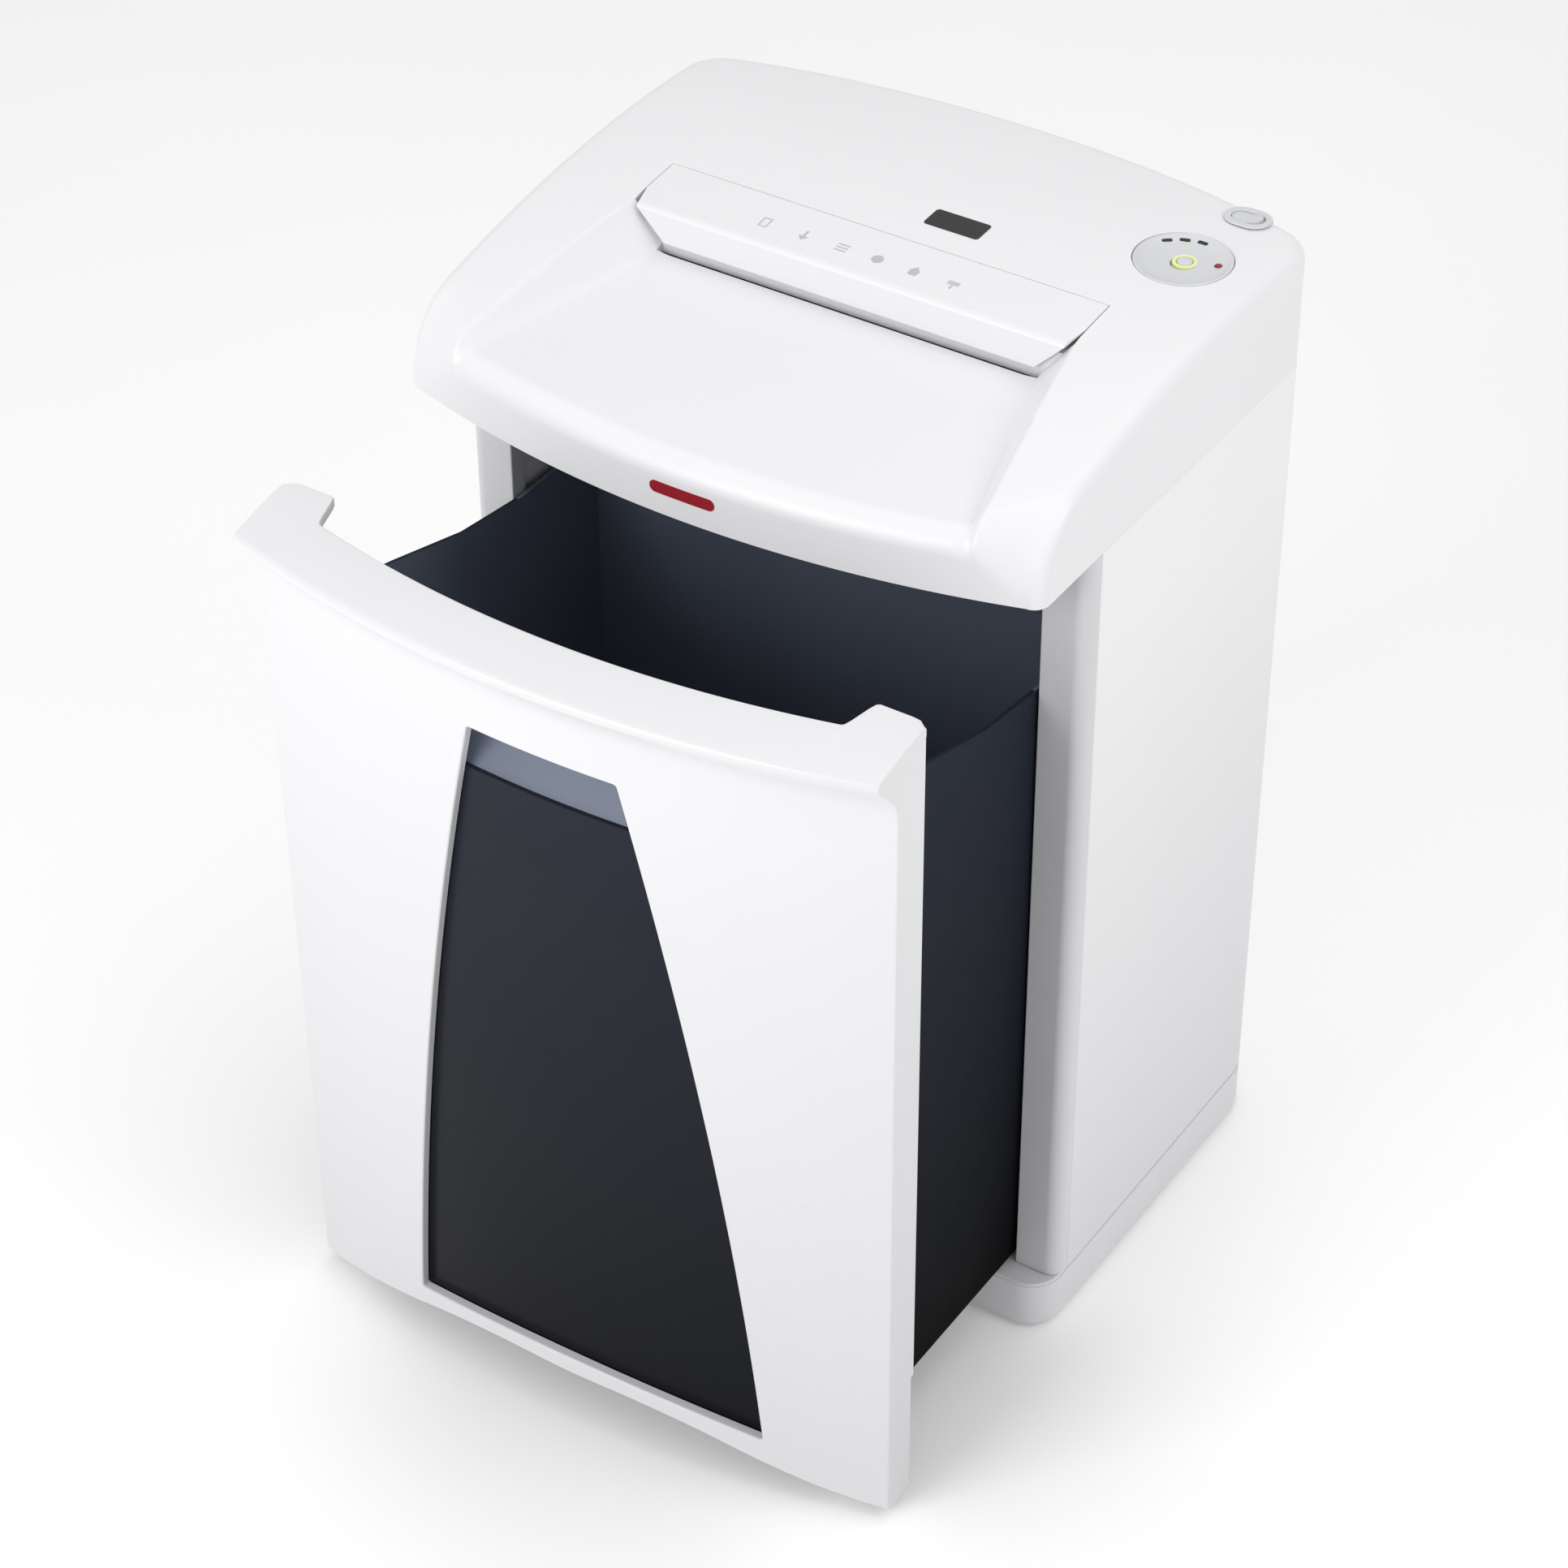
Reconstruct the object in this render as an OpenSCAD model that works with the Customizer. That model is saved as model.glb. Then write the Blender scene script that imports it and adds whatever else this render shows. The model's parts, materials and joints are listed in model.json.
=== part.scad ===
// Drawer-type office paper shredder, in millimetres, +Z up, front towards -Y.
// Everything is laid out from the front edge of the cabinet walls (local y = 0) and moved
// as one by front_y, so that the whole machine is centred over the origin with the bin drawn out.

/* [Cabinet] */
// Overall width of the cabinet and the hood
body_w = 395; // [385:1:405]
// Depth of the side walls, from their front edge to the rear corner
cabinet_d = 238; // [234:1:244]
// How far the back bows out at its middle
rear_bow = 32; // [28:1:36]
// Thickness of the side boards
side_t = 24; // [22:1:25]
// Height of the base board
base_h = 31; // [28:1:31]
// Clear height under the base board
foot_h = 4; // [3:1:5]
// Height of the joint between the hood and the side boards
seam_z = 543; // [542:1:546]

/* [Hood] */
// Highest point of the hood's deck
deck_top = 616.6; // [615:0.2:618]
// Radius of the deck's long curve, front to back
deck_r = 810; // [780:10:840]
// How far the fascia bows out at its middle
fascia_bow = 31; // [28:1:34]
// Wall of the hood moulding
hood_wall = 3; // [2.5:0.5:3]

/* [Feed] */
// Width of the paper slot
feed_w = 240; // [230:2:242]
// Gap of the paper slot, front to back
feed_gap = 6; // [5:0.5:6]

/* [Drawer] */
// How far the drawer stands out of the cabinet
drawer_out = 155; // [60:5:160]
// Half the width of the bin
bin_half_w = 168; // [160:1:168]
// Wall of the bin
bin_wall = 2.5; // [2:0.5:3]

/* [Cutting head] */
// Outer radius of a cutting roller
land_r = 21; // [20.6:0.1:21.2]
// Number of cutting lands on a roller
land_count = 30; // [20:1:30]
// Pitch of the lands along a roller
land_pitch = 8; // [8:0.1:8.05]

/* [Hidden] */
$fn = 96;

half_w = body_w / 2;
front_y = -18.8;
big = 700;
fine = 360;

// Colours
white = [0.94, 0.94, 0.95];
dark_bin = [0.16, 0.17, 0.22];
trim_grey = [0.66, 0.67, 0.69];
steel = [0.62, 0.63, 0.65];
black = [0.08, 0.08, 0.09];

// Cabinet
base_top = foot_h + base_h;
base_front = -15;
base_corner_r = 20;
rear_corner_r = 28;
trim_w = 28;
trim_d = 12;
rear_wall = 4;
rear_r = (half_w * half_w + rear_bow * rear_bow) / (2 * rear_bow);
rear_centre = cabinet_d + rear_bow - rear_r;

// Hood
fascia_corner_y = -49;
fascia_r = (half_w * half_w + fascia_bow * fascia_bow) / (2 * fascia_bow);
fascia_centre = fascia_corner_y - fascia_bow + fascia_r;
deck_y = 170;
hood_corner_r = 14;
slot_y = 78;
floor_rear_z = 587;
floor_front_z = 577;
floor_front_y = -95;
pocket_back = 118.5;
pocket_half = 137.6;
pocket_z = 603;
throat_wall_y = 81;

// Controls on the deck
disc_x = 148;
disc_y = 178;
disc_r = 27.3;
button_y = disc_y + 2;
button_r = 4.3;
rocker_x = 156;
rocker_y = 236;
rocker_tilt = 6;
rocker_pivot = -3;
disc_low = 609.5;
inlay_depth = 1.2;
inlay_low = deck_top - inlay_depth;

// Safety flap
flap_hinge_y = 114.5;
flap_hinge_z = 608.6;
flap_half = 137;
pin_r = 1.5;

// Drawer: its front is turned about one upright axis, so every curve in it is concentric
drawer_centre = 604;
panel_r = 665;
panel_wall = 4;
ridge_r = 683;
lip_rear_r = 647;
lip_top = 539.5;
block_x = 163;
bin_front_r = 656;
bin_bottom = 42;
bin_rear = 232;
window_top = 478;
window_bottom = 39;
window_top_half = 46;
window_bottom_half = 117;
window_bow = 9;
window_arch = 9;

// Cutting head
roller_gap = 39;
front_axis = [slot_y - roller_gap / 2, 545];
rear_axis = [slot_y + roller_gap / 2, 545];
land_w = 3.8;
groove_r = 17.2;
journal_r = 7.45;
bush_r = 10;
carrier_z = 496;
carrier_t = 3;
plate_in = 127;
plate_t = 6;
plate_out = plate_in + plate_t;
plate_low = carrier_z + carrier_t;
plate_top = 577;
gear_plate_x = 164;

// Gears: module and teeth
sync_m = 1.5;
sync_z = 26;
drive_m = 1.5;
drive_z = 54;
reduction_pinion_z = 18;
wheel_m = 1;
wheel_z = 66;
motor_pinion_z = 18;
backlash = 0.16;
pressure_angle = 20;
reduction_angle = 12;
motor_angle = -8;
reduction_distance = drive_m * (drive_z + reduction_pinion_z) / 2;
motor_distance = wheel_m * (wheel_z + motor_pinion_z) / 2;
reduction_axis = rear_axis + reduction_distance * [cos(reduction_angle), sin(reduction_angle)];
motor_axis = reduction_axis + motor_distance * [cos(motor_angle), sin(motor_angle)];
motor_r = 36;
axle_r = 5;

// Height of the deck at a given y
function deck(y) = deck_top - pow(y - deck_y, 2) / (2 * deck_r);

// Height of the feed tray's floor at a given y
function tray_floor(y) =
    floor_rear_z + (floor_front_z - floor_rear_z) * (slot_y - y) / (slot_y - floor_front_y);

// Half width of the drawer's window at a given height: a straight taper with a slight bow
function window_half(z) =
    let (t = (window_top - z) / (window_top - window_bottom))
    window_top_half + (window_bottom_half - window_top_half) * t + 4 * window_bow * t * (1 - t);

// Involute gear outline, tooth 0 centred on the +X direction
function inv(a) = tan(a) * 180 / PI - a;
function gear_flank(m, z) =
    let (rp = m * z / 2, rb = rp * cos(pressure_angle), ra = rp + m, r0 = max(rb, rp - m),
         pitch_half = 90 / z - backlash / (2 * rp) * 180 / PI)
    [for (i = [0 : 3])
        let (r = r0 + (ra - r0) * i / 3, a = acos(min(1, rb / r)))
        [r, pitch_half + inv(pressure_angle) - inv(a)]];
function gear_points(m, z) =
    let (flank = gear_flank(m, z), root = m * z / 2 - 1.25 * m)
    [for (k = [0 : z - 1])
        let (c = 360 * k / z)
        each concat(
            [root * [cos(c - flank[0][1]), sin(c - flank[0][1])]],
            [for (p = flank) p[0] * [cos(c - p[1]), sin(c - p[1])]],
            [for (i = [3 : -1 : 0]) flank[i][0] * [cos(c + flank[i][1]), sin(c + flank[i][1])]],
            [root * [cos(c + flank[0][1]), sin(c + flank[0][1])]])];

module place() {
    translate([0, front_y, 0])
        children();
}

module in_drawer() {
    translate([0, front_y - drawer_out, 0])
        children();
}

module block(x0, x1, y0, y1, z0, z1) {
    translate([x0, y0, z0])
        cube([x1 - x0, y1 - y0, z1 - z0]);
}

// Round bar along X from x0 to x1, at [y, z]
module bar_x(x0, x1, at, r) {
    translate([x0, at[0], at[1]])
        rotate([0, 90, 0])
            cylinder(h = x1 - x0, r = r);
}

module tube_x(x0, x1, at, r, bore) {
    difference() {
        bar_x(x0, x1, at, r);
        bar_x(x0 - 1, x1 + 1, at, bore);
    }
}

// Turned shape along X: its section is a list of [radius, x]
module turned_x(points, at) {
    translate([0, at[0], at[1]])
        rotate([0, 90, 0])
            rotate_extrude()
                polygon(points);
}

// Section drawn in (y, z) and pushed along X between x0 and x1
module along_x(x0, x1) {
    translate([x0, 0, 0])
        rotate([90, 0, 90])
            linear_extrude(height = x1 - x0)
                children();
}

// Section drawn in (x, z) and pushed along Y between y0 and y1
module along_y(y0, y1) {
    translate([0, y1, 0])
        rotate([90, 0, 0])
            linear_extrude(height = y1 - y0)
                children();
}

module rounded_rect(x0, x1, y0, y1, r) {
    translate([x0 + r, y0])
        square([x1 - x0 - 2 * r, y1 - y0]);
    translate([x0, y0 + r])
        square([x1 - x0, y1 - y0 - 2 * r]);
    for (x = [x0 + r, x1 - r])
        for (y = [y0 + r, y1 - r])
            translate([x, y])
                circle(r = r);
}

// Spur gear around an axis along X; phase is the direction of tooth 0 in the y-z plane
module gear_blank(x0, x1, at, m, z, phase) {
    translate([x0, at[0], at[1]])
        rotate([90, 0, 90])
            rotate([0, 0, phase])
                linear_extrude(height = x1 - x0)
                    polygon(gear_points(m, z));
}

module gear_x(x0, x1, at, m, z, phase, bore) {
    difference() {
        gear_blank(x0, x1, at, m, z, phase);
        bar_x(x0 - 1, x1 + 1, at, bore);
    }
}

// Countersunk screw, head up at the origin, shank down -Z
module screw(length, r) {
    difference() {
        union() {
            cylinder(h = 1.2, r = 2 * r);
            translate([0, 0, -length])
                cylinder(h = length + 0.1, r = r);
        }
        translate([0, 0, 0.5])
            for (a = [0, 90])
                rotate([0, 0, a])
                    translate([-r, -0.4, 0])
                        cube([2 * r, 0.8, 1]);
    }
}

// ---- Cabinet ----

// One half of a plan, inset mm inside its edge: a bowed edge of radius bow_r about [0, bow_y]
// that runs smoothly into the side walls; side is +1 for the back half, -1 for the front half
module bowed_half(side, bow_r, bow_y, corner_r, inset) {
    middle = cabinet_d / 2;
    corner_x = half_w - corner_r;
    corner_y = bow_y + side * sqrt(pow(bow_r - corner_r, 2) - pow(corner_x, 2));
    touch = corner_x * (bow_r - inset) / (bow_r - corner_r);
    translate([-half_w + inset, min(middle, corner_y)])
        square([2 * (half_w - inset), abs(corner_y - middle)]);
    for (x = [-corner_x, corner_x])
        translate([x, corner_y])
            circle(r = corner_r - inset);
    intersection() {
        translate([-touch, side > 0 ? middle : middle - big])
            square([2 * touch, big]);
        translate([0, bow_y])
            circle(r = bow_r - inset, $fn = fine);
    }
}

module rear_half(inset) {
    bowed_half(1, rear_r, rear_centre, rear_corner_r, inset);
}

// Plan of the base, inset mm inside its edge: straight front with round corners, bowed back
module base_plan(inset) {
    rear_half(inset);
    rounded_rect(-half_w + inset, half_w - inset, base_front + inset, cabinet_d / 2 + 40,
        base_corner_r - inset);
}

foot_spots = [for (x = [-1, 1]) for (y = [30, cabinet_d - 30]) [x * (half_w - 32), y]];

module base_board() {
    color(white)
        place()
            difference() {
                union() {
                    translate([0, 0, foot_h])
                        linear_extrude(height = base_h - 2)
                            base_plan(0);
                    translate([0, 0, base_top - 2.1])
                        linear_extrude(height = 2.1)
                            base_plan(1.2);
                }
                for (p = foot_spots)
                    translate([p[0], p[1], foot_h - 1])
                        cylinder(h = 3, r = 15.2);
            }
}

module side_board_plan() {
    translate([half_w - side_t, trim_d])
        square([side_t, cabinet_d / 2]);
    intersection() {
        translate([half_w - side_t, cabinet_d / 2])
            square([side_t, cabinet_d]);
        rear_half(0);
    }
}

module side_board() {
    translate([0, 0, base_top])
        linear_extrude(height = seam_z - base_top - 0.4)
            side_board_plan();
}

module left_side_board() {
    color(white)
        place()
            mirror([1, 0, 0])
                side_board();
}

module right_side_board() {
    color(white)
        place()
            side_board();
}

// Moulded strip that covers a side board's front edge
module edge_trim() {
    trim_r = 9;
    translate([0, 0, base_top])
        linear_extrude(height = seam_z - base_top - 0.4)
            union() {
                translate([half_w - trim_w, 0])
                    square([trim_w - trim_r, trim_d]);
                translate([half_w - trim_r, trim_r])
                    square([trim_r, trim_d - trim_r]);
                intersection() {
                    translate([half_w - trim_r - 1, 0])
                        square([trim_r + 1, trim_r]);
                    translate([half_w - trim_r, trim_r])
                        circle(r = trim_r);
                }
            }
}

module left_edge_trim() {
    color(trim_grey)
        place()
            mirror([1, 0, 0])
                edge_trim();
}

module right_edge_trim() {
    color(trim_grey)
        place()
            edge_trim();
}

module rear_panel() {
    panel_half = half_w - side_t - 0.1;
    color(white)
        place()
            translate([0, 0, base_top])
                linear_extrude(height = seam_z - base_top - 0.4)
                    intersection() {
                        translate([-panel_half, cabinet_d - 10])
                            square([2 * panel_half, rear_bow + 20]);
                        difference() {
                            translate([0, rear_centre])
                                circle(r = rear_r, $fn = fine);
                            translate([0, rear_centre])
                                circle(r = rear_r - rear_wall, $fn = fine);
                        }
                    }
}

module rubber_feet() {
    color(black)
        place()
            for (p = foot_spots)
                translate([p[0], p[1], 0])
                    difference() {
                        union() {
                            cylinder(h = 1, r = 14);
                            translate([0, 0, 1])
                                cylinder(h = foot_h + 1, r = 15);
                        }
                        translate([0, 0, -1])
                            cylinder(h = 3, r = 5);
                    }
}

module drawer_rails() {
    rail_h = bin_bottom - base_top - 0.4;
    color(trim_grey)
        place()
            for (side = [-1, 1])
                translate([side * 150 - 8, 20, base_top])
                    difference() {
                        cube([16, 205, rail_h]);
                        translate([6, -1, rail_h - 2])
                            cube([4, 207, 3]);
                    }
}

// ---- Hood ----

// Plan of the hood, inset mm inside its edge: bowed fascia, bowed back, round corners
module hood_plan(inset) {
    rear_half(inset);
    bowed_half(-1, fascia_r, fascia_centre, hood_corner_r, inset);
}

// Everything under the deck's curve, drop mm below its surface
module under_deck(drop) {
    translate([-big / 2, deck_y, deck_top - drop - deck_r])
        rotate([0, 90, 0])
            cylinder(h = big, r = deck_r, $fn = fine);
}

module hood_body(inset, low) {
    intersection() {
        translate([0, 0, low])
            linear_extrude(height = 90)
                hood_plan(inset);
        under_deck(inset);
    }
}

// The feed tray's recess: a floor that widens to the front, with leaning sides.
// grow makes it larger all round, for the wall of the moulding.
module tray_space(grow) {
    rear = slot_y + feed_gap / 2 + grow;
    front = floor_front_y;
    low_rear = tray_floor(slot_y) - grow;
    low_front = tray_floor(front) - grow;
    rear_low_half = feed_w / 2 - 2 + grow;
    front_low_half = 168 + grow;
    rear_high_half = rear_low_half + 33;
    front_high_half = front_low_half + 33;
    high_rear = low_rear + 33;
    high_front = low_front + 33;
    polyhedron(
        points = [
            [-rear_low_half, rear, low_rear], [rear_low_half, rear, low_rear],
            [front_low_half, front, low_front], [-front_low_half, front, low_front],
            [-rear_high_half, rear, high_rear], [rear_high_half, rear, high_rear],
            [front_high_half, front, high_front], [-front_high_half, front, high_front]],
        faces = [[3, 2, 1, 0], [4, 5, 6, 7], [1, 5, 4, 0], [3, 7, 6, 2],
            [2, 6, 5, 1], [0, 4, 7, 3]]);
}

module pocket_space(grow) {
    block(-pocket_half - grow, pocket_half + grow, throat_wall_y - 5, pocket_back + grow,
        pocket_z - grow, deck_top + 20);
}

module hood_cover() {
    wall = hood_wall;
    color(white)
        place()
            difference() {
                union() {
                    difference() {
                        hood_body(0, seam_z);
                        hood_body(wall, seam_z + wall);
                        // open underneath, behind the fascia's lower flange
                        block(-half_w + side_t + 1, half_w - side_t - 1, 14, cabinet_d,
                            seam_z - 1, seam_z + wall + 1);
                    }
                    intersection() {
                        hood_body(0.5, seam_z);
                        union() {
                            tray_space(wall);
                            difference() {
                                pocket_space(wall);
                                block(-big, big, -big, throat_wall_y, 0, big);
                            }
                        }
                    }
                }
                difference() {
                    tray_space(0);
                    // wall behind the slot, under the flap
                    block(-pocket_half - 1, pocket_half + 1, throat_wall_y, throat_wall_y + 10,
                        0, pocket_z);
                }
                pocket_space(0);
                // paper slot
                block(-feed_w / 2, feed_w / 2, slot_y - feed_gap / 2, slot_y + feed_gap / 2,
                    floor_rear_z - 10, floor_rear_z + 1);
                // hinge pin of the flap
                bar_x(-pocket_half - wall - 1, pocket_half + wall + 1,
                    [flap_hinge_y, flap_hinge_z], pin_r);
                // control disc and mains rocker
                translate([disc_x, disc_y, deck_top - 8])
                    cylinder(h = 20, r = disc_r + 0.3);
                on_rocker_spot(-20)
                    linear_extrude(height = 30)
                        rounded_rect(-11.3, 11.3, -8.3, 8.3, 8);
                // mains inlet in the back
                block(-14.2, 14.2, cabinet_d + rear_bow - 8, cabinet_d + rear_bow + 2, 554.8, 577.2);
                // screw holes in the back
                for (x = [-70, 70])
                    translate([x, cabinet_d + rear_bow - 20, 560])
                        rotate([-90, 0, 0])
                            cylinder(h = 30, r = 2.1);
            }
}

module paper_guides() {
    color(steel)
        place()
            for (y = [slot_y - feed_gap / 2 - 1.5, slot_y + feed_gap / 2])
                block(-feed_w / 2, feed_w / 2, y, y + 1.5, 562, floor_rear_z - hood_wall - 1);
}

// Light barrier in the middle of the slot
module paper_sensor() {
    color(black)
        place()
            for (y = [slot_y - feed_gap / 2 - 8, slot_y + feed_gap / 2 + 1.6])
                block(9, 17, y, y + 6.4, 570, 583);
}

module control_disc() {
    color([0.88, 0.88, 0.9])
        place()
            difference() {
                translate([disc_x, disc_y, 0]) {
                    translate([0, 0, disc_low])
                        cylinder(h = 3, r = disc_r + 3);
                    translate([0, 0, disc_low])
                        cylinder(h = deck_top + 0.4 - disc_low, r = disc_r);
                }
                translate([disc_x, button_y, disc_low - 1])
                    cylinder(h = 20, r = button_r + 0.4);
                translate([disc_x, button_y, inlay_low])
                    cylinder(h = 5, r = 6.5);
                // lamp and icons sit in pockets
                translate([disc_x + 18, disc_y + 6, inlay_low])
                    cylinder(h = 5, r = 2.6);
                for (p = icon_spots)
                    translate([disc_x + p[0], disc_y + p[1], inlay_low])
                        rotate([0, 0, p[2]])
                            translate([-3.1, -1.4, 0])
                                cube([6.2, 2.8, 5]);
            }
}

// Where the icons sit on the disc: x, y and turn
icon_spots = [[-17, 14, 40], [-9.5, 19.5, 20], [0, 21.5, 0]];

module light_ring() {
    color([0.75, 0.85, 0.5])
        place()
            translate([disc_x, button_y, inlay_low])
                difference() {
                    cylinder(h = 1.9, r = 6.5);
                    translate([0, 0, -1])
                        cylinder(h = 5, r = button_r + 0.4);
                }
}

module status_icons() {
    color(black)
        place()
            for (p = icon_spots)
                translate([disc_x + p[0], disc_y + p[1], inlay_low])
                    rotate([0, 0, p[2]])
                        translate([-3, -1.3, 0])
                            cube([6, 2.6, 1.75]);
}

module warning_lamp() {
    color([0.75, 0.1, 0.12])
        place()
            translate([disc_x + 18, disc_y + 6, inlay_low])
                cylinder(h = 1.9, r = 2.5);
}

// Puts its children on the deck at the rocker, square to the deck, raised by lift
module on_rocker_spot(lift) {
    translate([rocker_x, rocker_y, deck(rocker_y)])
        rotate([-atan((rocker_y - deck_y) / deck_r), 0, 0])
            translate([0, 0, lift])
                children();
}

module rocker_bezel() {
    color([0.85, 0.85, 0.87])
        place()
            difference() {
                union() {
                    on_rocker_spot(-12)
                        linear_extrude(height = 12.5)
                            rounded_rect(-11, 11, -8, 8, 7.8);
                    on_rocker_spot(0.05)
                        linear_extrude(height = 1.25)
                            rounded_rect(-13.5, 13.5, -11, 11, 10.8);
                }
                on_rocker_spot(-13)
                    linear_extrude(height = 20)
                        rounded_rect(-9.6, 9.6, -6.6, 6.6, 6.4);
            }
}

module mains_inlet() {
    back = cabinet_d + rear_bow;
    color(black)
        place()
            difference() {
                union() {
                    block(-14, 14, back - 26, back + 0.2, 555, 577);
                    block(-18, 18, back + 0.05, back + 1.6, 551, 581);
                }
                block(-11, 11, back - 18, back + 3, 558, 574);
            }
    // contact blades
    color(steel)
        place()
            for (p = [[-6, 564], [6, 564], [0, 569]])
                block(p[0] - 1, p[0] + 1, back - 18.2, back - 4, p[1] - 2, p[1] + 2);
}

module hood_screws() {
    back = cabinet_d + rear_bow;
    color(steel)
        place()
            for (x = [-70, 70])
                translate([x, back - 3.6, 560])
                    rotate([-90, 0, 0])
                        screw(10, 2);
}

// ---- Feed and controls that move ----

module safety_flap() {
    nose = 2.6;
    plate_t = 3.6;
    apron_t = 2;
    apron_low = 592;
    apron_half = 119.5;
    front = slot_y - 1;
    color(white)
        place()
            difference() {
                union() {
                    intersection() {
                        along_x(-flap_half, flap_half) {
                            // plate under the deck's curve, and the apron over the slot
                            translate([front, deck(front) - plate_t])
                                square([pocket_back - 0.5 - front, 12]);
                            translate([front, apron_low])
                                square([apron_t, deck_top - apron_low]);
                        }
                        under_deck(0);
                        // the apron's ends lean with the sides of the feed tray
                        along_y(front - 1, pocket_back + 1)
                            polygon([[-apron_half, apron_low], [apron_half, apron_low],
                                [flap_half, apron_low + flap_half - apron_half],
                                [flap_half, deck_top + 5], [-flap_half, deck_top + 5],
                                [-flap_half, apron_low + flap_half - apron_half]]);
                    }
                    // hinge knuckles
                    for (x = [-120, -8, 104])
                        bar_x(x, x + 16, [flap_hinge_y, flap_hinge_z], 3.4);
                }
                // rounded nose along the front edge
                along_x(-flap_half - 1, flap_half + 1)
                    difference() {
                        translate([front - 1, deck(front) - nose])
                            square([nose + 1, nose + 1]);
                        translate([front + nose, deck(front) - nose])
                            circle(r = nose);
                    }
                bar_x(-flap_half - 1, flap_half + 1, [flap_hinge_y, flap_hinge_z], pin_r + 0.06);
                // room for the hinge pin between the knuckles
                for (span = [[-flap_half - 1, -120], [-104, -8], [8, 104], [120, flap_half + 1]])
                    block(span[0], span[1], flap_hinge_y - 3, flap_hinge_y + 3,
                        flap_hinge_z - 4, flap_hinge_z + pin_r + 0.4);
            }
}

module flap_hinge_pin() {
    color(steel)
        place()
            bar_x(-pocket_half - hood_wall + 0.5, pocket_half + hood_wall - 0.5,
                [flap_hinge_y, flap_hinge_z], pin_r);
}

module flap_switch() {
    color(black)
        place() {
            block(60, 80, 92, 102, 588, 599.9);
            block(63, 65, 88.6, 92, 590, 596);
        }
}

module drawer_switch() {
    color(black)
        place() {
            block(-160, -140, 24, 44, 486, carrier_z - 0.1);
            block(-152, -148, 20, 24, 488, 493);
        }
}

module control_button() {
    color([0.95, 0.95, 0.96])
        place()
            translate([disc_x, button_y, 0]) {
                translate([0, 0, disc_low - 1.5])
                    cylinder(h = deck_top + 2.8 - disc_low, r = button_r);
                translate([0, 0, disc_low - 3.5])
                    cylinder(h = 2, r = button_r + 1.6);
            }
}

module mains_rocker() {
    half_y = 5.9;
    color([0.8, 0.8, 0.82])
        place()
            on_rocker_spot(rocker_pivot)
                rotate([0, -rocker_tilt, 0])
                    difference() {
                        intersection() {
                            along_y(-half_y, half_y)
                                polygon([[-8.9, -4], [-8.9, 4.6], [0, 3.4], [8.9, 4.6], [8.9, -4]]);
                            translate([0, 0, -5])
                                linear_extrude(height = 12)
                                    rounded_rect(-8.9, 8.9, -half_y, half_y, 5.8);
                        }
                        translate([0, half_y + 1, 0])
                            rotate([90, 0, 0])
                                cylinder(h = 2 * half_y + 2, r = 1);
                    }
}

// ---- Drawer ----

// Turned about the drawer's upright axis: the section is drawn in (radius, z)
module drawer_turned() {
    translate([0, drawer_centre, 0])
        rotate([0, 0, -90 - 20])
            rotate_extrude(angle = 40, $fn = fine)
                children();
}

// Outline of the window in (x, z), margin mm larger; its lower edge is a flat arch
module window_outline(margin) {
    steps = 8;
    span = window_top - window_bottom;
    right = [for (i = [0 : steps])
        let (z = window_top - span * i / steps)
        [window_half(z) + margin, z + margin * (1 - 2 * i / steps)]];
    arch = [for (u = [0.6, 0.2, -0.2, -0.6])
        [u * window_bottom_half, window_bottom - margin + window_arch * (1 - u * u)]];
    polygon(concat(right, arch, [for (i = [steps : -1 : 0]) [-right[i][0], right[i][1]]]));
}

// What the arched lower edge of the drawer's front leaves open, in (x, z)
module lower_arch() {
    half = [[half_w + 5, 8], [160, 13], [125, 21], [85, 33], [45, 37]];
    polygon(concat([[half_w + 5, 0]], half, [for (i = [4 : -1 : 0]) [-half[i][0], half[i][1]]],
        [[-half_w - 5, 0]]));
}

// Outer contour of the drawer's front, up to the top of the blocks at the handle's ends
module front_outer() {
    polygon([
        [0, foot_h], [panel_r, foot_h], [panel_r, 494], [panel_r + 3, 508], [panel_r + 9, 518],
        [ridge_r - 3, 524], [ridge_r, 529], [ridge_r - 2, 534],
        [ridge_r - 12, lip_top + 3], [0, lip_top + 3]]);
}

// What the skin leaves free: the space behind it, and the space above the lip
module front_hollow() {
    polygon([
        [0, -1], [panel_r - panel_wall, -1], [panel_r - panel_wall, 494], [panel_r - 1, 510],
        [panel_r + 5, 521], [ridge_r - 6, 529], [ridge_r - 9, 532],
        [lip_rear_r, lip_top - panel_wall], [lip_rear_r, lip_top],
        [ridge_r + 7, lip_top - 5], [ridge_r + 7, lip_top + 20], [0, lip_top + 20]]);
}

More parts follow.
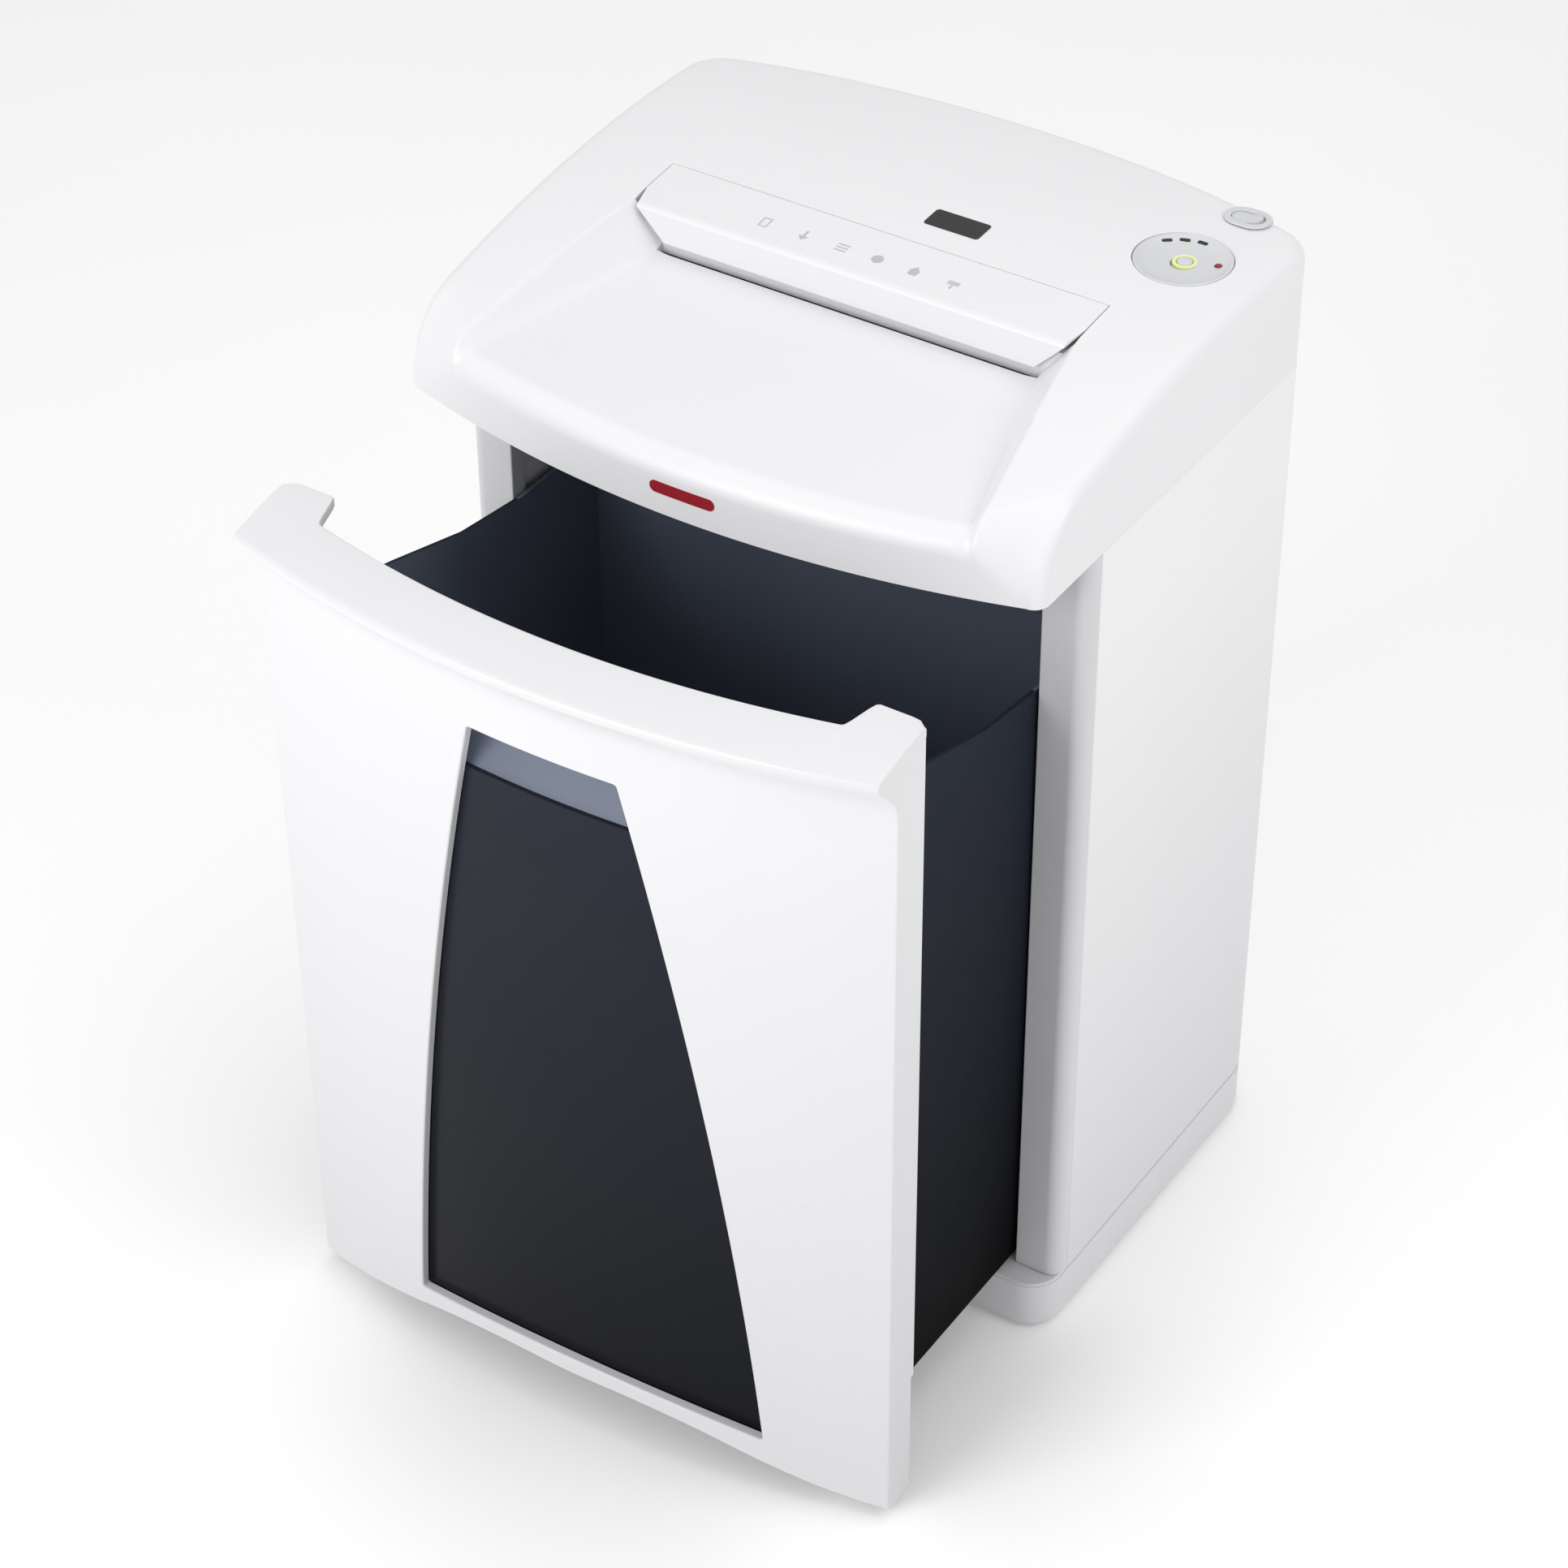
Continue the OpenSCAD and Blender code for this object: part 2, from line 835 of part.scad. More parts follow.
module drawer_front() {
    screw_x = 140;
    boss_front = -44;
    boss_back = -38.6;
    color(white)
        in_drawer()
            difference() {
                intersection() {
                    drawer_turned()
                        front_outer();
                    union() {
                        difference() {
                            block(-half_w, half_w, -90, 60, 0, lip_top + 10);
                            drawer_turned()
                                front_hollow();
                        }
                        // side flanges and the blocks at the ends of the handle
                        for (side = [0, 1])
                            mirror([side, 0, 0]) {
                                block(half_w - panel_wall, half_w, -90, -9, 0, 534);
                                block(half_w - panel_wall, half_w, -90, -1, 95, 534);
                                block(block_x, half_w, -90, -1, 533, lip_top + 2);
                                block(block_x, half_w, -30, -7, 520, 534);
                            }
                        // screw bosses to the bin
                        for (x = [-screw_x, screw_x])
                            for (z = [110, 430])
                                translate([x, boss_front, z])
                                    rotate([-90, 0, 0])
                                        cylinder(h = boss_back - boss_front, r = 5);
                    }
                }
                // screw holes, blind in the bosses
                for (x = [-screw_x, screw_x])
                    for (z = [110, 430])
                        translate([x, boss_front + 2.2, z])
                            rotate([-90, 0, 0])
                                cylinder(h = 10, r = 1.95);
                along_y(-80, -20)
                    window_outline(0);
                along_y(-90, 10)
                    lower_arch();
            }
}

// Everything inside the bin's front, inset mm: a turned wall with a slanting ledge at its top
module bin_space(inset) {
    bin_section_top = 490;
    intersection() {
        translate([0, drawer_centre, 0])
            rotate_extrude($fn = fine)
                polygon([
                    [0, bin_bottom + inset], [bin_front_r - inset, bin_bottom + inset],
                    [bin_front_r - inset, 446], [bin_front_r - 20 - inset, 482],
                    [bin_front_r - 20 - inset, bin_section_top], [0, bin_section_top]]);
        block(-bin_half_w + inset, bin_half_w - inset, -60, bin_rear - inset, 0, big);
    }
}

module bin_tub() {
    color(dark_bin)
        in_drawer()
            difference() {
                intersection() {
                    bin_space(0);
                    // rim that falls towards the back
                    along_x(-big / 2, big / 2)
                        polygon([[-70, 0], [-70, 486], [5, 484], [42, 475], [104, 458],
                            [155, 451], [bin_rear + 1, 450], [bin_rear + 1, 0]]);
                }
                bin_space(bin_wall);
                // opening behind the window
                intersection() {
                    along_y(-60, -30)
                        window_outline(-9);
                    block(-big, big, -60, -30, 0, 438);
                }
                // screw holes
                for (x = [-140, 140])
                    for (z = [110, 430])
                        translate([x, -45, z])
                            rotate([-90, 0, 0])
                                cylinder(h = 30, r = 2.1);
            }
}

// Dark see-through pane in front of the bin
module bin_window() {
    pane_low = 34;
    pane_top = 446;
    color([0.12, 0.13, 0.17])
        in_drawer()
            intersection() {
                drawer_turned()
                    translate([bin_front_r + 0.2, pane_low])
                        square([2.6, pane_top - pane_low]);
                along_y(-80, -20)
                    window_outline(3);
            }
}

module drawer_screws() {
    color(steel)
        in_drawer()
            for (x = [-140, 140])
                for (z = [110, 430])
                    translate([x, -33.4, z])
                        rotate([-90, 0, 0])
                            screw(8, 1.9);
}

// ---- Cutting head ----

module head_carrier() {
    wide = half_w - side_t - 0.3;
    color(steel)
        place()
            difference() {
                union() {
                    block(-wide, wide, 16, 232, carrier_z, carrier_z + carrier_t);
                    block(-wide, wide, 14, 16.1, carrier_z, seam_z - 0.4);
                }
                // shreds fall through here
                block(-122, 122, 36, 120, carrier_z - 1, carrier_z + carrier_t + 1);
            }
}

// Frame plate of the cutting head, its inner face at x; back is its rear edge
module frame_plate(x, back) {
    difference() {
        translate([x, 0, 0])
            along_x(0, plate_t)
                rounded_rect(20, back, plate_low, plate_top, 6);
        for (axis = [front_axis, rear_axis])
            bar_x(x - 1, x + plate_t + 1, axis, bush_r + 0.02);
        for (at = tie_spots)
            bar_x(x - 1, x + plate_t + 1, at, 2.6);
    }
}

tie_spots = [[30, 507], [127, 507], [127, 569]];
standoff_spots = [[50, 507], [50, 570], [212, 507], [212, 570]];

module left_frame_plate() {
    color(steel)
        place()
            frame_plate(-plate_out, 136);
}

module right_frame_plate() {
    color(steel)
        place()
            difference() {
                frame_plate(plate_in, 232);
                bar_x(plate_in - 1, plate_out + 1, reduction_axis, axle_r);
                bar_x(plate_in - 1, plate_out + 1, motor_axis, 7);
            }
}

// Outer plate that carries the far ends of the gear shafts
module gear_plate() {
    color(steel)
        place()
            difference() {
                along_x(gear_plate_x, gear_plate_x + 3)
                    rounded_rect(42, 220, plate_low, plate_top, 6);
                bar_x(gear_plate_x - 1, gear_plate_x + 4, rear_axis, journal_r + 0.07);
                bar_x(gear_plate_x - 1, gear_plate_x + 4, reduction_axis, axle_r);
                bar_x(gear_plate_x - 1, gear_plate_x + 4, motor_axis, 6);
                for (at = standoff_spots)
                    bar_x(gear_plate_x - 1, gear_plate_x + 4, at, 2.1);
            }
}

module plate_standoffs() {
    color(steel)
        place()
            for (at = standoff_spots)
                bar_x(plate_out, gear_plate_x, at, 4);
}

module tie_rods() {
    color(steel)
        place()
            for (at = tie_spots)
                turned_x([[0, -plate_out], [2.5, -plate_out], [2.5, -plate_in], [5, -plate_in],
                    [5, plate_in], [2.5, plate_in], [2.5, plate_out], [0, plate_out]], at);
}

module shaft_bushes() {
    color([0.72, 0.55, 0.3])
        place()
            for (x = [-plate_out, plate_in])
                for (axis = [front_axis, rear_axis])
                    tube_x(x, x + plate_t, axis, bush_r, journal_r + 0.05);
}

// Start of land number k on a roller; the two rollers' lands interleave
function land_x(k, shift) = -land_count * land_pitch / 2 + k * land_pitch + shift;

// Cutting roller: grooves turned into one bar, with a journal at each end
module roller(axis, shift, left_end, right_end) {
    shoulder = plate_in - 2;
    lands = [for (k = [0 : land_count - 1])
        each [[groove_r, land_x(k, shift)], [land_r, land_x(k, shift)],
            [land_r, land_x(k, shift) + land_w], [groove_r, land_x(k, shift) + land_w]]];
    turned_x(concat(
        [[0, left_end], [journal_r, left_end], [journal_r, -shoulder], [groove_r, -shoulder]],
        lands,
        [[groove_r, shoulder], [journal_r, shoulder], [journal_r, right_end], [0, right_end]]),
        axis);
}

// Turns its children to the back or, for towards = -1, to the front
module facing(towards) {
    mirror([0, towards > 0 ? 0 : 1, 0])
        children();
}

// Comb whose teeth lie in a roller's grooves; towards is +1 if they point to the back
module stripper(axis, shift, towards) {
    tooth_w = land_pitch - land_w - 0.5;
    reach = groove_r + 0.5;
    bar_far = land_r + 8;
    bar_near = land_r + 1.2;
    for (k = [0 : land_count - 2])
        translate([land_x(k, shift) + land_w + 0.25, axis[0], axis[1]])
            facing(towards)
                translate([0, -bar_near - 0.5, -2])
                    cube([tooth_w, bar_near + 0.5 - reach, 4]);
    translate([-plate_in, axis[0], axis[1]])
        facing(towards)
            translate([0, -bar_far, -4])
                cube([2 * plate_in, bar_far - bar_near, 8]);
}

module front_stripper() {
    color(trim_grey)
        place()
            stripper(front_axis, 0, 1);
}

module rear_stripper() {
    color(trim_grey)
        place()
            stripper(rear_axis, land_pitch / 2, -1);
}

module front_roller() {
    color(steel)
        place()
            roller(front_axis, 0, -150, 135);
}

module rear_roller() {
    color(steel)
        place()
            roller(rear_axis, land_pitch / 2, -150, gear_plate_x + 4);
}

module front_sync_gear() {
    color(steel)
        place()
            gear_x(-147, -137, front_axis, sync_m, sync_z, 180 / sync_z, journal_r);
}

module rear_sync_gear() {
    color(steel)
        place()
            gear_x(-147, -137, rear_axis, sync_m, sync_z, 180, journal_r);
}

module drive_gear() {
    color(steel)
        place()
            gear_x(137, 149, rear_axis, drive_m, drive_z, reduction_angle, journal_r);
}

module reduction_gear() {
    color([0.9, 0.88, 0.8])
        place()
            difference() {
                union() {
                    gear_blank(136, 150.5, reduction_axis, drive_m, reduction_pinion_z,
                        reduction_angle + 180 + 180 / reduction_pinion_z);
                    bar_x(149, 153, reduction_axis, 9);
                    gear_blank(152, 160, reduction_axis, wheel_m, wheel_z, motor_angle);
                }
                bar_x(135, 161, reduction_axis, axle_r + 0.06);
            }
}

module reduction_axle() {
    color(steel)
        place()
            bar_x(plate_in, gear_plate_x + 3, reduction_axis, axle_r);
}

module motor_stator() {
    color(trim_grey)
        place()
            tube_x(-10, 110, motor_axis, motor_r, 20);
}

module motor_end_bells() {
    color([0.75, 0.76, 0.78])
        place() {
            difference() {
                tube_x(-24, -10, motor_axis, motor_r, 4.06);
                bar_x(-16, -9, motor_axis, 26);
            }
            difference() {
                tube_x(110, plate_in, motor_axis, motor_r, 4.06);
                bar_x(109, 118, motor_axis, 26);
            }
        }
}

module motor_rotor() {
    color(steel)
        place()
            turned_x([[0, -40], [4, -40], [4, 5], [19.6, 5], [19.6, 95], [4, 95],
                [4, 162], [0, 162]], motor_axis);
}

module motor_pinion() {
    color([0.72, 0.55, 0.3])
        place()
            gear_x(151.5, 161, motor_axis, wheel_m, motor_pinion_z,
                motor_angle + 180 + 180 / motor_pinion_z, 4);
}

module cooling_fan() {
    blade_count = 7;
    color(black)
        place()
            translate([-39, motor_axis[0], motor_axis[1]])
                rotate([0, 90, 0])
                    difference() {
                        union() {
                            cylinder(h = 11, r = 8);
                            for (k = [0 : blade_count - 1])
                                rotate([0, 0, k * 360 / blade_count])
                                    translate([0, -0.8, 1])
                                        cube([31, 1.6, 9]);
                            translate([0, 0, 9])
                                cylinder(h = 1.5, r = 31);
                        }
                        translate([0, 0, -1])
                            cylinder(h = 14, r = 4);
                    }
}

module motor_capacitor() {
    color(white)
        place() {
            bar_x(-120, -62, [195, 516.4], 17);
            bar_x(-122.5, -119.9, [195, 516.4], 15);
        }
}

module circuit_board() {
    color([0.12, 0.36, 0.2])
        place() {
            block(-150, -55, 150, 225, 560, 561.6);
            for (x = [-145, -60])
                for (y = [155, 220])
                    translate([x, y, plate_low])
                        cylinder(h = 560 - plate_low, r = 3);
        }
    color(black)
        place() {
            block(-140, -118, 160, 188, 561.5, 577);
            block(-110, -90, 158, 172, 561.5, 573);
            block(-84, -66, 160, 178, 561.5, 575);
            block(-140, -70, 205, 214, 561.5, 570);
        }
}

module frame_screws() {
    color(black)
        place() {
            for (at = standoff_spots)
                translate([gear_plate_x + 3, at[0], at[1]])
                    rotate([0, 90, 0])
                        screw(3, 2);
            for (at = tie_spots)
                translate([-plate_out, at[0], at[1]])
                    rotate([0, -90, 0])
                        cylinder(h = 2.5, r = 5);
        }
}

base_board();
left_side_board();
right_side_board();
left_edge_trim();
right_edge_trim();
rear_panel();
rubber_feet();
drawer_rails();
hood_cover();
paper_guides();
paper_sensor();
control_disc();
light_ring();
status_icons();
warning_lamp();
rocker_bezel();
mains_inlet();
flap_hinge_pin();
flap_switch();
drawer_switch();
head_carrier();
left_frame_plate();
right_frame_plate();
gear_plate();
plate_standoffs();
tie_rods();
shaft_bushes();
front_stripper();
rear_stripper();
reduction_axle();
motor_stator();
motor_end_bells();
motor_capacitor();
circuit_board();
hood_screws();
frame_screws();
safety_flap();
control_button();
mains_rocker();
bin_tub();
bin_window();
drawer_front();
drawer_screws();
front_roller();
front_sync_gear();
rear_roller();
rear_sync_gear();
drive_gear();
reduction_gear();
motor_rotor();
motor_pinion();
cooling_fan();
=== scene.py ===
import json
import math

import bmesh
import bpy
import numpy as np
from mathutils import Matrix, Vector
from mathutils.geometry import delaunay_2d_cdt

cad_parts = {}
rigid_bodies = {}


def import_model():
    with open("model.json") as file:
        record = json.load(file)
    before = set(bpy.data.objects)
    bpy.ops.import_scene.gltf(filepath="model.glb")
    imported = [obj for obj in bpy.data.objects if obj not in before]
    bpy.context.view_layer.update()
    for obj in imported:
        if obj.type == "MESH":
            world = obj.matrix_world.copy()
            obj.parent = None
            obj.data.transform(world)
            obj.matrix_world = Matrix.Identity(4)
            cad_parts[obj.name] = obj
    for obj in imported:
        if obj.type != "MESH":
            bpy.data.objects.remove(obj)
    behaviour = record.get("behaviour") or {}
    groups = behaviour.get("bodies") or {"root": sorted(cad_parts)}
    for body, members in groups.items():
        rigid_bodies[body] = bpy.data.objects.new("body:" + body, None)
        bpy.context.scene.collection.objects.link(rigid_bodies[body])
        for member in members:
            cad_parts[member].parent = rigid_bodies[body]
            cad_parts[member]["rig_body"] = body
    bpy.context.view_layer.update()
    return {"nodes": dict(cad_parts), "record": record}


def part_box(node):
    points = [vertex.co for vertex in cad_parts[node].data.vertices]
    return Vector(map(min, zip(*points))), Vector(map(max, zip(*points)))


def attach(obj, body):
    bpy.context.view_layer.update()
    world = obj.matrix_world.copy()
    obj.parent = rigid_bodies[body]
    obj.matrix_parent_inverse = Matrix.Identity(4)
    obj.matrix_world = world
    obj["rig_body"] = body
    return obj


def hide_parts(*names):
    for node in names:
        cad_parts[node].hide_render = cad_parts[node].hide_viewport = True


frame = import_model()
NODES = frame["nodes"]
MM = 0.001
FRONT_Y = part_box("left_edge_trim")[0].y
BIN_REAR = 0.232  # the bin's back from the cabinet's front edge when the drawer is closed, in metres
DRAWER_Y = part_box("bin_tub")[1].y - BIN_REAR


# ---------------------------------------------------------------- places

def in_cabinet(p):
    """A point in mm from the cabinet's front edge, as metres in the frame"""
    return Vector((p[0] * MM, FRONT_Y + p[1] * MM, p[2] * MM))


def in_drawer(p):
    """The same for a point on the drawer, which rests drawn out"""
    return Vector((p[0] * MM, DRAWER_Y + p[1] * MM, p[2] * MM))


# ---------------------------------------------------------------- numbers

def mix(a, b, t):
    """The value at t on the way from a to b"""
    return a + (b - a) * t


def ramp(v, low, high):
    """0 below low, 1 above high, with a smooth rise between them"""
    t = min(max((v - low) / (high - low), 0), 1)
    return t * t * (3 - 2 * t)


def smooth_max(a, b, k):
    """The larger of two values, rounded over where they are within k of each other"""
    h = max(k - abs(a - b), 0) / k
    return max(a, b) + h * h * k / 4


def smooth_min(a, b, k):
    return -smooth_max(-a, -b, k)


def steps(a, b, n):
    """n + 1 values from a to b"""
    return [mix(a, b, i / n) for i in range(n + 1)]


# ---------------------------------------------------------------- flat outlines

def corner_arc(p, before, after, radius, n=6):
    """Points that round the corner p between its two neighbours"""
    a = (Vector(before) - Vector(p)).normalized()
    b = (Vector(after) - Vector(p)).normalized()
    half = a.angle(b) / 2
    run = radius / math.tan(half)
    centre = Vector(p) + (a + b).normalized() * (radius / math.sin(half))
    start, end = Vector(p) + a * run - centre, Vector(p) + b * run - centre
    turn = start.angle_signed(end)
    points = []
    for i in range(n + 1):
        c, s = math.cos(-turn * i / n), math.sin(-turn * i / n)
        points.append((centre.x + start.x * c - start.y * s, centre.y + start.x * s + start.y * c))
    return points


def rounded(corners, radii, n=6):
    """A closed outline with each corner rounded"""
    out = []
    for i, p in enumerate(corners):
        r = radii[i] if isinstance(radii, (list, tuple)) else radii
        out += corner_arc(p, corners[i - 1], corners[(i + 1) % len(corners)], r, n) if r else [p]
    return out


def divided(loop, step):
    """The outline with points no further apart than step"""
    out = []
    for p, q in zip(loop, loop[1:] + loop[:1]):
        n = max(1, math.ceil(math.dist(p, q) / step))
        out += [(mix(p[0], q[0], i / n), mix(p[1], q[1], i / n)) for i in range(n)]
    return out


def apart(points, others, gap):
    """The points that keep gap from all of the others"""
    others = np.array(others, float)
    return [p for p in points if np.min(np.hypot(others[:, 0] - p[0], others[:, 1] - p[1])) > gap]


def circle(x, y, r, n=64):
    """A round outline of n points"""
    return [(x + r * math.cos(math.tau * i / n), y + r * math.sin(math.tau * i / n)) for i in range(n)]


def grown(loop, by):
    """The outline moved outward by an amount"""
    area = sum(p[0] * q[1] - q[0] * p[1] for p, q in zip(loop, loop[1:] + loop[:1]))
    side = 1 if area > 0 else -1
    out = []
    for i, p in enumerate(loop):
        a, b = loop[i - 1], loop[(i + 1) % len(loop)]
        n1 = Vector((p[1] - a[1], a[0] - p[0])).normalized()
        n2 = Vector((b[1] - p[1], p[0] - b[0])).normalized()
        n = (n1 + n2).normalized()
        k = side * by / max(n.dot(n1), 0.5)
        out.append((p[0] + n.x * k, p[1] + n.y * k))
    return out


def edge_normals(edge):
    """Outward directions, square to the x axis, along a column of points"""
    normals = []
    for i in range(len(edge)):
        a, b = edge[max(i - 1, 0)], edge[min(i + 1, len(edge) - 1)]
        normals.append(Vector((0, -(b[2] - a[2]), b[1] - a[1])).normalized())
    return normals


def inside(points, loop):
    """For each point, whether it lies inside the outline"""
    points = np.asarray(points, float)
    loop = np.asarray(loop, float)
    hit = np.zeros(len(points), bool)
    for (ax, ay), (bx, by) in zip(loop, np.roll(loop, -1, axis=0)):
        if ay == by:
            continue
        span = (points[:, 1] > ay) != (points[:, 1] > by)
        at = (bx - ax) * (points[:, 1] - ay) / (by - ay) + ax
        hit ^= span & (points[:, 0] < at)
    return hit


def fill(outer, holes, inner, gap):
    """Triangles inside outer and outside the holes, through the inner points that keep gap from the edges"""
    rims = np.array(sum([outer] + holes, []), float)
    inner = np.array(inner, float)
    keep = inside(inner, outer)
    for h in holes:
        keep &= ~inside(inner, h)
    inner = inner[keep]
    near = np.array([np.min(np.hypot(rims[:, 0] - x, rims[:, 1] - y)) for x, y in inner])
    inner = inner[near > gap]
    points = [Vector(p) for p in rims] + [Vector(p) for p in inner]
    edges, start = [], 0
    for loop in [outer] + holes:
        n = len(loop)
        edges += [(start + i, start + (i + 1) % n) for i in range(n)]
        start += n
    verts, _, faces, _, _, _ = delaunay_2d_cdt(points, edges, [], 0, 1e-5)
    mids = np.array([[sum(verts[i][k] for i in f) / len(f) for k in (0, 1)] for f in faces])
    good = inside(mids, outer)
    for h in holes:
        good &= ~inside(mids, h)
    return [[(verts[i].x, verts[i].y) for i in f] for f, g in zip(faces, good) if g]


# ---------------------------------------------------------------- meshes

class Sheet:
    """Faces in mm that are later merged, thickened and turned into a piece"""

    def __init__(self):
        self.bm = bmesh.new()

    def face(self, corners):
        kept = [corners[0]]
        for p in corners[1:]:
            if math.dist(p, kept[-1]) > 0.004 and math.dist(p, kept[0]) > 0.004:
                kept.append(p)
        if len(kept) > 2:
            self.bm.faces.new([self.bm.verts.new(p) for p in kept])

    def grid(self, rows, closed=False):
        for a, b in zip(rows, rows[1:]):
            n = len(a)
            for i in range(n if closed else n - 1):
                j = (i + 1) % n
                self.face([a[i], a[j], b[j], b[i]])

    def filled(self, faces, place):
        for f in faces:
            self.face([place(*p) for p in f])

    def slab(self, top, low):
        """A closed solid between an outline and the same outline further down"""
        self.face(top)
        self.face(low[::-1])
        for i in range(len(top)):
            j = (i + 1) % len(top)
            self.face([low[i], low[j], top[j], top[i]])

    def merge(self):
        bmesh.ops.remove_doubles(self.bm, verts=self.bm.verts, dist=0.01)
        bmesh.ops.dissolve_degenerate(self.bm, edges=self.bm.edges, dist=0.003)
        bmesh.ops.recalc_face_normals(self.bm, faces=self.bm.faces)

    def thicken(self, depth, out=None):
        """Turns an open sheet into a closed shell below its outer face.

        The outer face looks along out, or up at its highest face where out isn't given."""
        self.merge()
        bm = self.bm
        if out:
            facing = sum(f.normal.dot(Vector(out)) * f.calc_area() for f in bm.faces)
        else:
            facing = max(bm.faces, key=lambda f: f.calc_center_median().z).normal.z
        if facing < 0:
            bmesh.ops.reverse_faces(bm, faces=bm.faces)
        bm.normal_update()
        rim = [e for e in bm.edges if e.is_boundary]
        below = {}
        for v in list(bm.verts):
            below[v] = bm.verts.new(v.co - v.normal * depth * min(v.calc_shell_factor(), 1.5))
        sides = [(e.verts[0], e.verts[1]) for e in rim]
        for f in list(bm.faces):
            bm.faces.new([below[v] for v in reversed(f.verts)])
        for a, b in sides:
            bm.faces.new([a, b, below[b], below[a]])
        bmesh.ops.recalc_face_normals(bm, faces=bm.faces)

    def piece(self, name, body, material, place=in_cabinet, sharp=38, slot=None, stands_for=()):
        self.merge()
        for v in self.bm.verts:
            v.co = place(v.co)
        mesh = bpy.data.meshes.new(name)
        self.bm.to_mesh(mesh)
        self.bm.free()
        return finished(name, mesh, body, material, sharp, stands_for)


def finished(name, mesh, body, material, sharp=38, stands_for=()):
    """Links a mesh as a smooth shaded piece that rides on its body"""
    piece = bpy.data.objects.new(name, mesh)
    bpy.context.scene.collection.objects.link(piece)
    mesh.materials.clear()
    mesh.materials.append(material)
    for f in mesh.polygons:
        f.use_smooth = True
    mesh.set_sharp_from_angle(angle=math.radians(sharp))
    weighted = piece.modifiers.new("normals", "WEIGHTED_NORMAL")
    weighted.keep_sharp = True
    weighted.weight = 80
    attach(piece, body)
    if stands_for:
        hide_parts(*stands_for)
    return piece


def softened(node, material, width):
    """A copy of a CAD node with its flat faces joined and its edges rounded"""
    source = NODES[node]
    bm = bmesh.new()
    bm.from_mesh(source.data)
    if node == "safety_flap":
        # the ends of its front edge keep clear of the tray's sides when it is pressed
        for v in bm.verts:
            if abs(v.co.x) > FLAP_END_X * MM and v.co.y < FLAP_EDGE_Y * MM + FRONT_Y:
                v.co.x -= math.copysign(FLAP_END_CUT * MM, v.co.x)
    bmesh.ops.remove_doubles(bm, verts=bm.verts, dist=2e-6)
    bmesh.ops.dissolve_limit(bm, angle_limit=math.radians(0.4), verts=bm.verts, edges=bm.edges)
    edges = [e for e in bm.edges if e.is_manifold and e.calc_face_angle(0) > math.radians(28)]
    bmesh.ops.bevel(bm, geom=edges, offset=width * MM, offset_type="OFFSET", segments=3,
                    profile=0.5, affect="EDGES", clamp_overlap=True)
    mesh = bpy.data.meshes.new(node + "_finish")
    bm.to_mesh(mesh)
    bm.free()
    return finished(node + "_finish", mesh, source["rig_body"], material, 60, (node,))


# ---------------------------------------------------------------- materials

